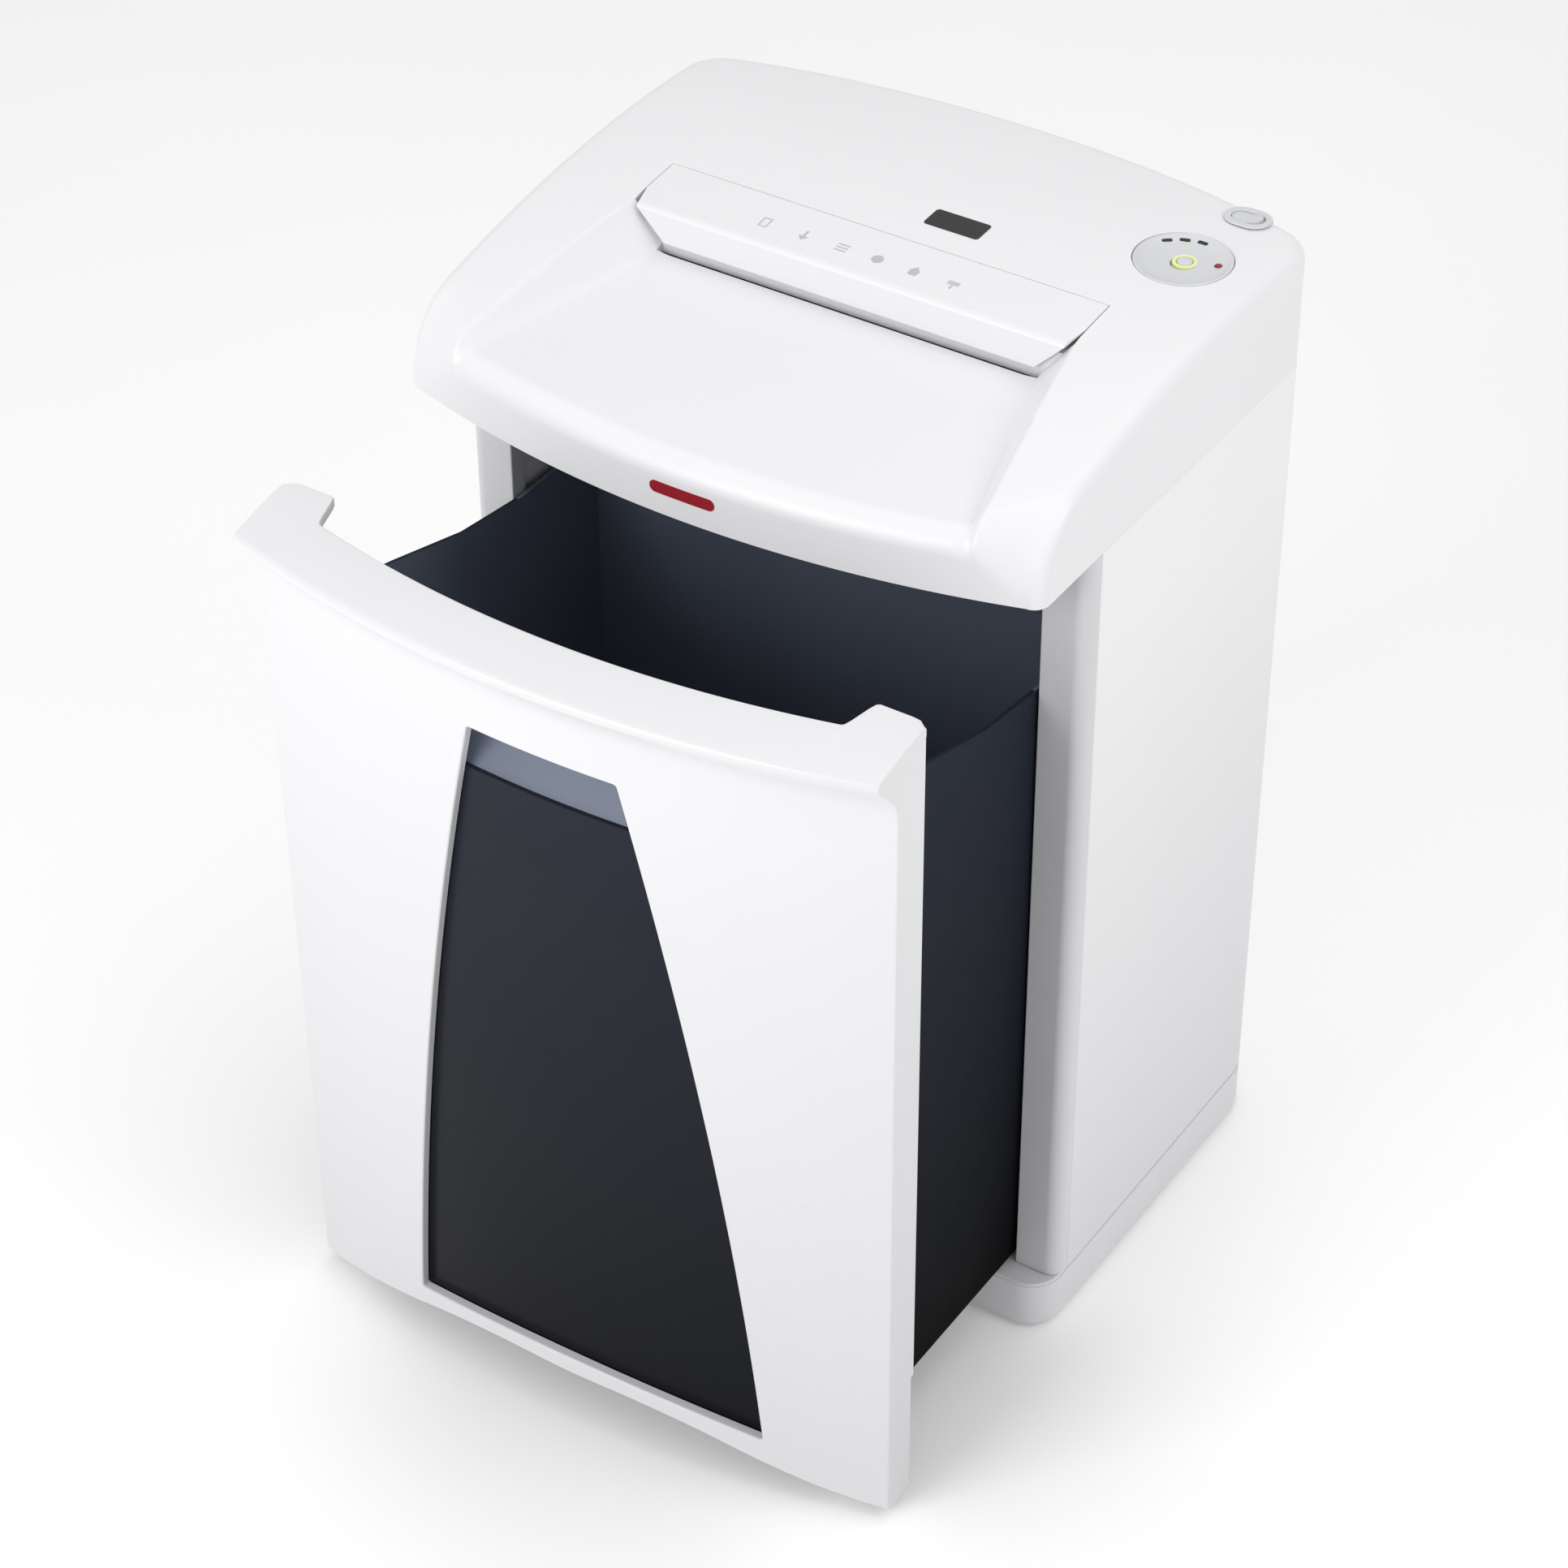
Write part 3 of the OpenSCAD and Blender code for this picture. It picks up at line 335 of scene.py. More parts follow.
def moulded(name, colour, rough=0.42, rough_vary=0.06, grain=900.0, bump=0.05, vary=0.025, cloud=9.0,
            metallic=0.0, specular=0.5, coat=0.0, stretch=(1, 1, 1), depth=0.0002, foot=None):
    """Plastic or metal with fine surface grain, uneven gloss and slight colour drift.

    colour, foot: linear red, green and blue. Where foot is given, the colour passes into it towards
    the floor. grain, cloud: noise scales per metre. stretch: how the noise is drawn out along x, y, z."""
    m = bpy.data.materials.new(name)
    m.use_nodes = True
    nodes, links = m.node_tree.nodes, m.node_tree.links
    shader = nodes["Principled BSDF"]
    shader.inputs["Metallic"].default_value = metallic
    shader.inputs["Specular IOR Level"].default_value = specular
    shader.inputs["Coat Weight"].default_value = coat
    shader.inputs["Coat Roughness"].default_value = 0.15
    place = nodes.new("ShaderNodeTexCoord")
    scale = nodes.new("ShaderNodeMapping")
    scale.inputs["Scale"].default_value = stretch
    links.new(place.outputs["Object"], scale.inputs["Vector"])
    big = nodes.new("ShaderNodeTexNoise")
    big.inputs["Scale"].default_value = cloud
    big.inputs["Detail"].default_value = 4
    links.new(scale.outputs["Vector"], big.inputs["Vector"])
    tint = nodes.new("ShaderNodeValToRGB")
    tint.color_ramp.elements[0].position = 0.3
    tint.color_ramp.elements[1].position = 0.7
    low = [max(c * (1 - vary), 0) for c in colour]
    high = [min(c * (1 + vary), 1) for c in colour]
    tint.color_ramp.elements[0].color = (*low, 1)
    tint.color_ramp.elements[1].color = (*high, 1)
    links.new(big.outputs["Fac"], tint.inputs["Fac"])
    # painted shade: where foot is given, the colour darkens into it towards the floor
    if foot:
        parts = nodes.new("ShaderNodeSeparateXYZ")
        links.new(place.outputs["Object"], parts.inputs["Vector"])
        rise = nodes.new("ShaderNodeMapRange")
        rise.inputs["From Min"].default_value = 0.05
        rise.inputs["From Max"].default_value = 0.48
        links.new(parts.outputs["Z"], rise.inputs["Value"])
        blend = nodes.new("ShaderNodeMix")
        blend.data_type = "RGBA"
        blend.inputs["A"].default_value = (*foot, 1)
        links.new(rise.outputs["Result"], blend.inputs["Factor"])
        links.new(tint.outputs["Color"], blend.inputs["B"])
        links.new(blend.outputs["Result"], shader.inputs["Base Color"])
    else:
        links.new(tint.outputs["Color"], shader.inputs["Base Color"])
    gloss = nodes.new("ShaderNodeMapRange")
    gloss.inputs["To Min"].default_value = rough - rough_vary
    gloss.inputs["To Max"].default_value = rough + rough_vary
    smudge = nodes.new("ShaderNodeTexNoise")
    smudge.inputs["Scale"].default_value = cloud * 4
    smudge.inputs["Detail"].default_value = 6
    links.new(scale.outputs["Vector"], smudge.inputs["Vector"])
    links.new(smudge.outputs["Fac"], gloss.inputs["Value"])
    links.new(gloss.outputs["Result"], shader.inputs["Roughness"])
    fine = nodes.new("ShaderNodeTexNoise")
    fine.inputs["Scale"].default_value = grain
    fine.inputs["Detail"].default_value = 2
    links.new(scale.outputs["Vector"], fine.inputs["Vector"])
    relief = nodes.new("ShaderNodeBump")
    relief.inputs["Strength"].default_value = bump
    relief.inputs["Distance"].default_value = depth
    links.new(fine.outputs["Fac"], relief.inputs["Height"])
    links.new(relief.outputs["Normal"], shader.inputs["Normal"])
    return m


def grey(v):
    """Linear grey of an 8 bit screen value"""
    v /= 255
    return v / 12.92 if v <= 0.04045 else ((v + 0.055) / 1.055) ** 2.4


def screen(r, g, b):
    return (grey(r), grey(g), grey(b))


WHITE = moulded("white_plastic", screen(234, 234, 236), rough=0.36, grain=700, bump=0.05, vary=0.008)
# drawer front: a darker copy of the hood's white plastic, painted shade, with painted shade deepening towards
# the floor
FRONT_WHITE_PAINTED_SHADE = moulded("front_plastic_painted_shade", screen(227, 227, 229), rough=0.30, grain=700, bump=0.04, vary=0.008,
                      foot=screen(212, 212, 215))
FLAP_WHITE = moulded("flap_plastic", screen(233, 233, 235), rough=0.36, grain=700, bump=0.04, vary=0.008)
# white laminate of the boards; the foot colour is painted shade that darkens it towards the floor
LAMINATE = moulded("white_laminate", screen(240, 240, 241), rough=0.40, grain=700, bump=0.10, vary=0.01,
                   stretch=(1, 1, 0.25), foot=screen(218, 218, 221))
HARDBOARD = moulded("white_hardboard", screen(228, 228, 226), rough=0.55, grain=500, bump=0.2, vary=0.02)
TRIM = moulded("grey_trim", screen(213, 213, 216), rough=0.42, grain=900, bump=0.08, vary=0.02)
# the bin's dark plastic; the foot colour is painted shade, darker towards the floor
BIN = moulded("bin_plastic", screen(40, 45, 56), rough=0.6, grain=900, bump=0.10, vary=0.04, specular=0.03,
              foot=screen(7, 7, 9))
# painted light: a lighter copy of the bin's plastic for its inner faces and front ledge, standing in for the
# light that falls into the bin
BIN_INSIDE_PAINTED_LIGHT = moulded("bin_inside_painted_light", screen(104, 112, 130), rough=0.42, grain=700, bump=0.12, vary=0.05,
                     specular=0.4)
# smoked pane; the foot colour is painted reflection and shade, lighter at the top and darker towards its foot
PANE = moulded("smoked_pane", screen(36, 40, 50), rough=0.24, rough_vary=0.04, grain=60, bump=0.02, vary=0.06,
               specular=0.08, foot=screen(10, 12, 16))
CONTROL = moulded("control_grey", screen(210, 211, 214), rough=0.38, grain=1500, bump=0.08, vary=0.01)
BLACK = moulded("black_plastic", screen(26, 27, 30), rough=0.45, grain=900, bump=0.15, vary=0.08)
ICON = moulded("icon_black", screen(30, 31, 34), rough=0.5, grain=900, bump=0.05, vary=0.05)
MARK = moulded("mark_grey", screen(186, 188, 192), rough=0.5, grain=900, bump=0.05, vary=0.02)
RED = moulded("red_accent", screen(150, 24, 38), rough=0.35, grain=900, bump=0.05, vary=0.05)
RUBBER = moulded("foot_rubber", screen(40, 40, 42), rough=0.8, grain=600, bump=0.3, vary=0.08)
NYLON = moulded("rail_nylon", screen(214, 212, 204), rough=0.5, grain=700, bump=0.1, vary=0.02)
STEEL = moulded("sheet_steel", (0.52, 0.53, 0.55), rough=0.34, metallic=1.0, grain=320, bump=0.12, vary=0.06,
                cloud=25, stretch=(1, 1, 6))
TURNED = moulded("turned_steel", (0.45, 0.46, 0.48), rough=0.26, metallic=1.0, grain=900, bump=0.2, vary=0.05,
                 stretch=(8, 1, 1))
SCREW = moulded("screw_steel", (0.50, 0.50, 0.52), rough=0.3, metallic=1.0, grain=900, bump=0.1, vary=0.06)
GEAR = moulded("gear_steel", (0.40, 0.40, 0.41), rough=0.38, metallic=1.0, grain=700, bump=0.15, vary=0.08)
GEAR_NYLON = moulded("gear_nylon", screen(228, 224, 210), rough=0.45, grain=800, bump=0.1, vary=0.02)
BRONZE = moulded("sintered_bronze", (0.55, 0.38, 0.2), rough=0.45, metallic=1.0, grain=1200, bump=0.3, vary=0.1)
IRON = moulded("stator_iron", (0.2, 0.2, 0.21), rough=0.55, metallic=0.7, grain=400, bump=0.4, vary=0.1,
               stretch=(20, 1, 1))
ALLOY = moulded("bell_aluminium", (0.66, 0.67, 0.68), rough=0.4, metallic=1.0, grain=500, bump=0.25, vary=0.05)
CAP_WHITE = moulded("capacitor_white", screen(225, 226, 228), rough=0.4, grain=700, bump=0.1, vary=0.02)
BOARD = moulded("circuit_green", screen(22, 84, 52), rough=0.45, grain=300, bump=0.2, vary=0.15, cloud=60)
RING = moulded("lit_ring", screen(208, 214, 160), rough=0.4, grain=900, bump=0.05, vary=0.02)
LAMP = moulded("lamp_red", screen(140, 22, 30), rough=0.3, grain=900, bump=0.05, vary=0.05)
FLOOR = moulded("studio_floor", screen(254, 254, 254), rough=0.65, grain=200, bump=0.03, vary=0.006, cloud=2)


def glow(material, colour, strength):
    """Lets a material shine a little by itself"""
    shader = material.node_tree.nodes["Principled BSDF"]
    shader.inputs["Emission Color"].default_value = (*colour, 1)
    shader.inputs["Emission Strength"].default_value = strength


glow(RING, screen(214, 224, 150), 0.25)
glow(FLOOR, (1, 1, 1), 0.08)

FINISH = {
    "white_plastic": WHITE, "white_laminate": LAMINATE, "white_hardboard": HARDBOARD, "trim": TRIM,
    "nylon": NYLON, "rubber": RUBBER, "bin_plastic": BIN, "window": PANE, "control_grey": CONTROL,
    "lit_ring": RING, "icon_black": ICON, "lamp_red": LAMP, "black_plastic": BLACK, "steel_sheet": STEEL,
    "steel_turned": TURNED, "screw_steel": SCREW, "gear_steel": GEAR, "gear_nylon": GEAR_NYLON,
    "bronze": BRONZE, "stator_iron": IRON, "bell_aluminium": ALLOY, "capacitor_white": CAP_WHITE,
    "board_green": BOARD,
}

# ---------------------------------------------------------------- hood

SEAM_Z = 543.0
HALF_W = 197.5
EDGE_R = 9.0
SIDE_X = HALF_W - EDGE_R
JOIN_Y = 20.0
SLOT_REAR, SLOT_FRONT = 81.0, 75.0
POCKET_X, POCKET_REAR, POCKET_Z = 137.6, 118.5, 603.0
SLOT_X = 120.0
HOOD_WALL = 2.6
THROAT_Z = 583.4
LIP_Y = 14.0  # rear edge of the underside of the overhang
REAR_CENTRE_Y, REAR_R, CORNER_R = -355.5, 625.5, 28.0
INLET_X, INLET_LOW, INLET_HIGH = 13.6, 555.4, 576.6
CONTROL_WELL, ROCKER_WELL = 606.0, 605.0
ROCKER_HALF, ROCKER_CORNER = (11.3, 8.3), 8.0
FLAP_END_X, FLAP_EDGE_Y, FLAP_END_CUT = 118.0, 82.5, 3.1
DISC = (148.0, 178.0)
DISC_R = 27.3
ROCKER = (156.0, 236.0)


def fascia_y(x):
    """The bowed front of the hood"""
    return 564.6 - math.sqrt(644.6 ** 2 - x * x)


def deck_z(x, y):
    """The gently domed top of the hood"""
    return 616.6 - (y - 170) ** 2 / 1620 - max(abs(x) - 100, 0) ** 2 / 6400


def tray_z(y):
    """The sloping floor of the feed tray"""
    return 587 - 10 * (78 - y) / 173


def floor_edge(y):
    """Half width of the feed tray at its floor"""
    return 118 + 50 * (81 - y) / 176


def deck_edge(y):
    """Half width of the feed tray at the deck"""
    return 138 + 22 * (81 - y) / 130


def hood_z(x, y):
    """Height of the hood's upper face: the deck with the sunken feed tray"""
    deck = deck_z(x, y)
    if y > SLOT_REAR + 0.01:
        return deck
    low = tray_z(y)
    rise = max(deck - low, 0.6) / (deck_edge(y) - floor_edge(y))
    wall = low + (abs(x) - floor_edge(y)) * rise
    return smooth_min(deck, smooth_max(low, wall, 2.4), 0.9)


def front_column(x):
    """Points of the hood's outer face from the fascia's lower edge over the roll to JOIN_Y"""
    arm = ramp(abs(x), 150, 197)
    y0 = fascia_y(x)
    across = mix(13, 38, arm)
    down = min(mix(13, 42, arm), hood_z(x, y0) - SEAM_Z - 1)
    foot = hood_z(x, y0) - down
    points = [(x, y0, z) for z in steps(SEAM_Z, foot, 5)[:-1]]
    for i in range(15):
        a = math.radians(90 * (1 - i / 14))
        y = y0 + across * (1 - math.sin(a))
        points.append((x, y, hood_z(x, y) - down * (1 - math.cos(a))))
    for y in steps(y0 + across, JOIN_Y, 10)[1:]:
        points.append((x, y, hood_z(x, y)))
    return points


def deck_normal(y):
    return Vector((0, (y - 170) / 810, 1)).normalized()


def hood_front(s, xs):
    """The rolled front of the hood, its rounded side edges and the underside of the overhang"""
    columns = [front_column(x) for x in xs]
    turns = [math.radians(15 * i) for i in range(1, 7)]
    for side in (-1, 1):
        edge = columns[0] if side < 0 else columns[-1]
        normals = edge_normals(edge)
        normals[0] = Vector((0, -1, 0))
        normals[-1] = deck_normal(JOIN_Y)
        extra = []
        for t in turns:
            column = []
            for p, n in zip(edge, normals):
                q = Vector(p) - n * EDGE_R * (1 - math.cos(t))
                column.append((p[0] + side * EDGE_R * math.sin(t), q.y, q.z))
            extra.append(column)
        # the flat side ahead of JOIN_Y
        last = extra[-1]
        s.face(last + [(last[0][0], last[-1][1], SEAM_Z), (last[0][0], LIP_Y, SEAM_Z)])
        columns = extra[::-1] + columns if side < 0 else columns + extra
    s.grid(columns)
    low = [c[0] for c in columns]
    s.grid([low, [(p[0], LIP_Y, SEAM_Z) for p in low]])


def rear_border():
    """Points inset by the edge radius round the part behind JOIN_Y, each with its outward direction"""
    cx = HALF_W - CORNER_R
    cy = REAR_CENTRE_Y + math.sqrt((REAR_R - CORNER_R) ** 2 - cx * cx)
    border = [((SIDE_X, y), (1, 0)) for y in steps(JOIN_Y, cy, 14)]
    meet = math.atan2(cy - REAR_CENTRE_Y, cx)
    for a in steps(0, meet, 8)[1:]:
        d = (math.cos(a), math.sin(a))
        border.append(((cx + (CORNER_R - EDGE_R) * d[0], cy + (CORNER_R - EDGE_R) * d[1]), d))
    for a in steps(meet, math.pi / 2, 14)[1:]:
        d = (math.cos(a), math.sin(a))
        border.append(((d[0] * (REAR_R - EDGE_R), REAR_CENTRE_Y + d[1] * (REAR_R - EDGE_R)), d))
    return border + [((-p[0], p[1]), (-d[0], d[1])) for p, d in reversed(border[:-1])]


def pocket_crossing():
    """Where the tray's side, at the slot's rear edge, passes the height of the pocket's floor"""
    high = SLOT_X
    while hood_z(high, SLOT_REAR) < POCKET_Z:
        high += 0.5
    low = high - 0.5
    for _ in range(30):
        mid = (low + high) / 2
        low, high = (mid, high) if hood_z(mid, SLOT_REAR) < POCKET_Z else (low, mid)
    return low


def tray_points():
    """Points of the deck and tray, close together where the tray's sides bend"""
    inner = [(x, y) for x in steps(-184, 184, 46) for y in steps(26, 262, 30)]
    inner = [p for p in inner if p[1] > 92 or abs(p[0]) < 105 or abs(p[0]) > 158]
    bands = []
    for side in (-1, 1):
        for y in steps(22.5, 80, 18):
            f, d = floor_edge(y), deck_edge(y)
            bands += [(side * (f + k), y) for k in (-8, -4.5, -2.7, -1.8, -0.9, 0, 0.9, 1.8, 2.7, 5)]
            bands += [(side * (d + k), y) for k in (-4, -1.6, -0.8, 0, 0.8, 1.6, 3, 6, 10)]
    return apart(inner, bands, 3) + bands


def hood_rim(s, border):
    """The rounded edge behind JOIN_Y and the wall under it, with the opening for the mains inlet"""
    rows = []
    for k in range(7):
        row = []
        for p, d in border:
            n, out = deck_normal(p[1]), Vector((*d, 0))
            full = n.angle(out)
            b = full * k / 6
            way = (n * math.sin(full - b) + out * math.sin(b)) / math.sin(full)
            start = Vector((*p, hood_z(*p)))
            row.append(tuple(start - n * EDGE_R + way * EDGE_R))
        rows.append(row)
    s.grid(rows)
    wall = rows[-1]
    mid = [i for i, p in enumerate(wall) if abs(p[0]) < 40 and p[1] > 240]
    first, last = mid[0], mid[-1]
    for part in (wall[:first + 1], wall[last:]):
        s.grid([part, [(p[0], p[1], SEAM_Z) for p in part]])
    # the stretch of the back round the inlet
    part = wall[first:last + 1][::-1]
    known_x, known_y = [p[0] for p in part], [p[1] for p in part]
    outline = [(p[0], SEAM_Z) for p in part] + [(p[0], p[2]) for p in reversed(part)]
    opening = divided([(-INLET_X, INLET_LOW), (INLET_X, INLET_LOW),
                       (INLET_X, INLET_HIGH), (-INLET_X, INLET_HIGH)], 4)
    inner = [(x, z) for x in steps(-34, 34, 10) for z in steps(547, 600, 7)]
    s.filled(fill(outline, [opening], inner, 1.5), lambda x, z: (x, float(np.interp(x, known_x, known_y)), z))


def drop(s, path, top, low, closed=False):
    """A wall below a path in x and y, between two heights that may depend on the place"""
    s.grid([[(x, y, top(x, y)) for x, y in path], [(x, y, low) for x, y in path]], closed)


def hood():
    """The hood as one moulding with its tray, pocket, slot and wells"""
    s = Sheet()
    half = steps(0, 128, 16) + steps(130, 166, 36) + steps(169, SIDE_X, 6)
    xs = [-x for x in reversed(half[1:])] + half
    hood_front(s, xs)
    border = rear_border()

    # edge of the pocket under the flap and of the paper slot ahead of it
    throat_x = steps(-SLOT_X, SLOT_X, 30)
    cross = pocket_crossing()
    ends = [POCKET_X, mix(cross, POCKET_X, 0.5), cross, mix(SLOT_X, cross, 0.66), mix(SLOT_X, cross, 0.33)]
    pocket_x = [-x for x in ends] + throat_x + ends[::-1]
    pocket_y = steps(SLOT_REAR, POCKET_REAR, 6)
    slot_y = steps(SLOT_REAR, SLOT_FRONT, 2)
    hole = [(-POCKET_X, y) for y in reversed(pocket_y)]
    hole += [(x, SLOT_REAR) for x in pocket_x if -POCKET_X < x <= -SLOT_X]
    hole += [(-SLOT_X, y) for y in slot_y[1:]]
    hole += [(x, SLOT_FRONT) for x in throat_x[1:]]
    hole += [(SLOT_X, y) for y in reversed(slot_y[:-1])]
    hole += [(x, SLOT_REAR) for x in pocket_x if SLOT_X < x < POCKET_X]
    hole += [(POCKET_X, y) for y in pocket_y]
    hole += [(x, POCKET_REAR) for x in reversed(pocket_x[1:-1])]
    disc = circle(*DISC, DISC_R + 0.3, 72)
    w, d = ROCKER_HALF
    rocker = [(ROCKER[0] + x, ROCKER[1] + y) for x, y in
              rounded([(-w, -d), (w, -d), (w, d), (-w, d)], ROCKER_CORNER, 8)]
    outer = [(x, JOIN_Y) for x in xs] + [p for p, out in border[1:-1]]
    s.filled(fill(outer, [hole, disc, rocker], tray_points(), 1.1), lambda x, y: (x, y, hood_z(x, y)))
    hood_rim(s, border)

    s.grid([[(x, y, POCKET_Z) for x in pocket_x] for y in pocket_y])
    for side in (-1, 1):
        drop(s, [(side * POCKET_X, y) for y in pocket_y], lambda x, y: hood_z(POCKET_X, y), POCKET_Z)
        drop(s, [(side * x, SLOT_REAR) for x in ends + [SLOT_X]], hood_z, POCKET_Z)
        drop(s, [(side * SLOT_X, y) for y in slot_y], lambda x, y: hood_z(SLOT_X, y), THROAT_Z)
    drop(s, [(x, POCKET_REAR) for x in pocket_x], hood_z, POCKET_Z)
    drop(s, [(x, SLOT_FRONT) for x in throat_x], hood_z, THROAT_Z)
    lip = hood_z(SLOT_X, SLOT_REAR)
    s.grid([[(x, SLOT_REAR, z) for x in throat_x] for z in (POCKET_Z, lip, THROAT_Z)])
    drop(s, disc, deck_z, CONTROL_WELL, closed=True)
    drop(s, rocker, deck_z, ROCKER_WELL, closed=True)
    s.thicken(HOOD_WALL)
    return s.piece("hood_shell", "housing", WHITE, slot="white_plastic", stands_for=("hood_cover",))


hood()

# ---------------------------------------------------------------- drawer front

CENTRE_Y = 604.0
PANEL_R = 665.0
EDGE = 1.4
RIM_X = HALF_W - EDGE
LEDGE_TOP = 496.0  # where the flat panel ends and the handle's curve begins
FRONT_WALL = 3.4
STEP_Y, STEP_Z = -9.0, 95.0  # the step at the foot of each side flange
WINDOW_TOP, WINDOW_LOW = 478.0, 39.0
WINDOW_TOP_HALF, WINDOW_LOW_HALF = 46.0, 117.0
WINDOW_BOW, WINDOW_ARCH = 36.0, 9.0
WINDOW_EDGE = 1.4  # radius of the rounded edge round the window
PANE_R, PANE_TOP, PANE_T = 658.8, 446.0, 2.6
LIP_R, RIDGE_R = 647.0, 680.0


def on_arc(r, x):
    """y on an arc round the upright axis that all curves of the drawer front share"""
    return CENTRE_Y - math.sqrt(r * r - x * x)


def lower_edge(x):
    """Height of the front's arched lower edge"""
    spots = [(-45, 36.7), (0, 37), (45, 36.7), (85, 32), (125, 22.5), (160, 14.5), (202, 7.7), (230, 4)]
    x = abs(x)
    for before, a, b, after in zip(spots, spots[1:], spots[2:], spots[3:]):
        if x <= b[0]:
            run = b[0] - a[0]
            slope_a = (b[1] - before[1]) / (b[0] - before[0]) * run
            slope_b = (after[1] - a[1]) / (after[0] - a[0]) * run
            t = (x - a[0]) / run
            bend = t * (1 - t)
            return mix(a[1], b[1], ramp(t, 0, 1)) + bend * (1 - t) * slope_a - bend * t * slope_b
    return spots[-2][1]


def window_half(z):
    """Half width of the window at a height"""
    t = (WINDOW_TOP - z) / (WINDOW_TOP - WINDOW_LOW)
    return mix(WINDOW_TOP_HALF, WINDOW_LOW_HALF, t) + WINDOW_BOW * t * (1 - t)


def steps_between(corner, n):
    """Points along the top edge from just inside one corner to the other"""
    return [(mix(corner[0], -corner[0], i / n), corner[1]) for i in range(1, n)]


def window_outline():
    """The window's edge in x and z: narrow above, wide below, with an arched lower edge"""
    side = [(window_half(z), z) for z in steps(WINDOW_LOW, WINDOW_TOP, 44)]
    foot = WINDOW_LOW_HALF
    low = [(foot * u, WINDOW_LOW + WINDOW_ARCH * (1 - u * u)) for u in steps(-1, 1, 26)][1:-1]
    out = corner_arc((-foot, WINDOW_LOW), (-side[1][0], side[1][1]), low[0], 1.6, 4) + low
    out += corner_arc((foot, WINDOW_LOW), low[-1], side[1], 1.6, 4) + side[1:-1]
    out += corner_arc(side[-1], side[-2], (-side[-1][0], side[-1][1]), 2.2, 4)
    out += steps_between(side[-1], 11)
    out += corner_arc((-side[-1][0], side[-1][1]), side[-1], (-side[-2][0], side[-2][1]), 2.2, 4)
    out += [(-x, z) for x, z in reversed(side[1:-1])]
    # in the photo the window stands a little off centre, more so at its foot
    return [(x + 2 + 6 * (WINDOW_TOP - z) / (WINDOW_TOP - WINDOW_LOW), z) for x, z in out]


def rear_limit(x):
    """Where the handle's top ends: the lip, or the blocks at its two ends"""
    x = abs(x)
    lip = on_arc(LIP_R, x)
    block = -1 - (9 - math.sqrt(81 - max(x - 188.5, 0) ** 2))
    return mix(lip, block, ramp(x, 160, 168))


# radius and height of the handle's front, from the panel out to the ridge and in again
SECTION = [(665, 499), (665.2, 502), (665.9, 506), (667.3, 510), (669.6, 514), (672.8, 518), (676.4, 521.6),
           (679.6, 524.8), (681.8, 527.6), (682.8, 529.8), (683, 531.2), (682.6, 532.6), (681.6, 533.8),
           (680, 534.6)]


def handle_column(x):
    """Points of the handle from the panel over the ridge to the back of its top"""
    points = [(x, on_arc(PANEL_R, x), LEDGE_TOP)]
    points += [(x, on_arc(r, x), z) for r, z in SECTION]
    high = mix(539.5, 541.5, ramp(abs(x), 160, 168))
    front, back = on_arc(RIDGE_R, x), rear_limit(x)
    for v in steps(0, 1, 8)[1:]:
        points.append((x, mix(front, back - 1.8, v), mix(534.6, high, 1 - (1 - v) ** 1.4)))
    for a in (22, 45, 68, 90):
        a = math.radians(a)
        points.append((x, back - 1.8 + 1.8 * math.sin(a), high - 1.8 * (1 - math.cos(a))))
    points.append((x, back, high - 5.5))
    return points


def drawer_skin():
    """The drawer front: a curved panel with the window, the handle and two side flanges"""
    s = Sheet()
    half = steps(0, 156, 26) + steps(158, 170, 8) + steps(174, RIM_X, 5)
    xs = [-x for x in reversed(half[1:])] + half
    zs = steps(lower_edge(RIM_X), LEDGE_TOP, 24)
    outline = [(x, lower_edge(x)) for x in xs]
    outline += [(RIM_X, z) for z in zs[1:-1]]
    outline += [(x, LEDGE_TOP) for x in reversed(xs)]
    outline += [(-RIM_X, z) for z in reversed(zs[1:-1])]
    window = window_outline()
    inner = [(x, z) for x in steps(-187, 187, 40) for z in steps(20, 486, 26)]
    bands = divided(grown(window, 3.5), 9) + divided(grown(window, 7), 9)
    inner = apart(inner, bands, 5) + bands
    s.filled(fill(outline, [grown(window, WINDOW_EDGE)], inner, 1.5), lambda x, z: (x, on_arc(PANEL_R, x), z))
    rows = []
    for b in steps(0, 90, 4):
        b = math.radians(b)
        rows.append([(x, on_arc(PANEL_R - WINDOW_EDGE * (1 - math.cos(b)), x), z)
                     for x, z in grown(window, WINDOW_EDGE * (1 - math.sin(b)))])
    rows.append([(x, on_arc(PANEL_R - 5.6, x), z) for x, z in window])
    s.grid(rows, closed=True)
    columns = [handle_column(x) for x in xs]
    s.grid(columns)
    for side in (-1, 1):
        top = columns[0] if side < 0 else columns[-1]
        edge = [(side * RIM_X, on_arc(PANEL_R, RIM_X), z) for z in zs[:-1]] + list(top)
        normals = edge_normals(edge)
        strips = [edge]
        for t in steps(0, 90, 4)[1:]:
            t = math.radians(t)
            strips.append([(side * (RIM_X + EDGE * math.sin(t)), p[1] - n.y * EDGE * (1 - math.cos(t)),
                            p[2] - n.z * EDGE * (1 - math.cos(t))) for p, n in zip(edge, normals)])
        s.grid(strips)
        last = strips[-1]
        rear = last[-1]
        s.face(last + [(rear[0], rear[1], STEP_Z), (rear[0], STEP_Y, STEP_Z), (rear[0], STEP_Y, last[0][2])])
    s.thicken(FRONT_WALL)
    return s.piece("drawer_skin", "drawer", FRONT_WHITE_PAINTED_SHADE, in_drawer, slot="white_plastic",
                   stands_for=("drawer_front",))


drawer_skin()


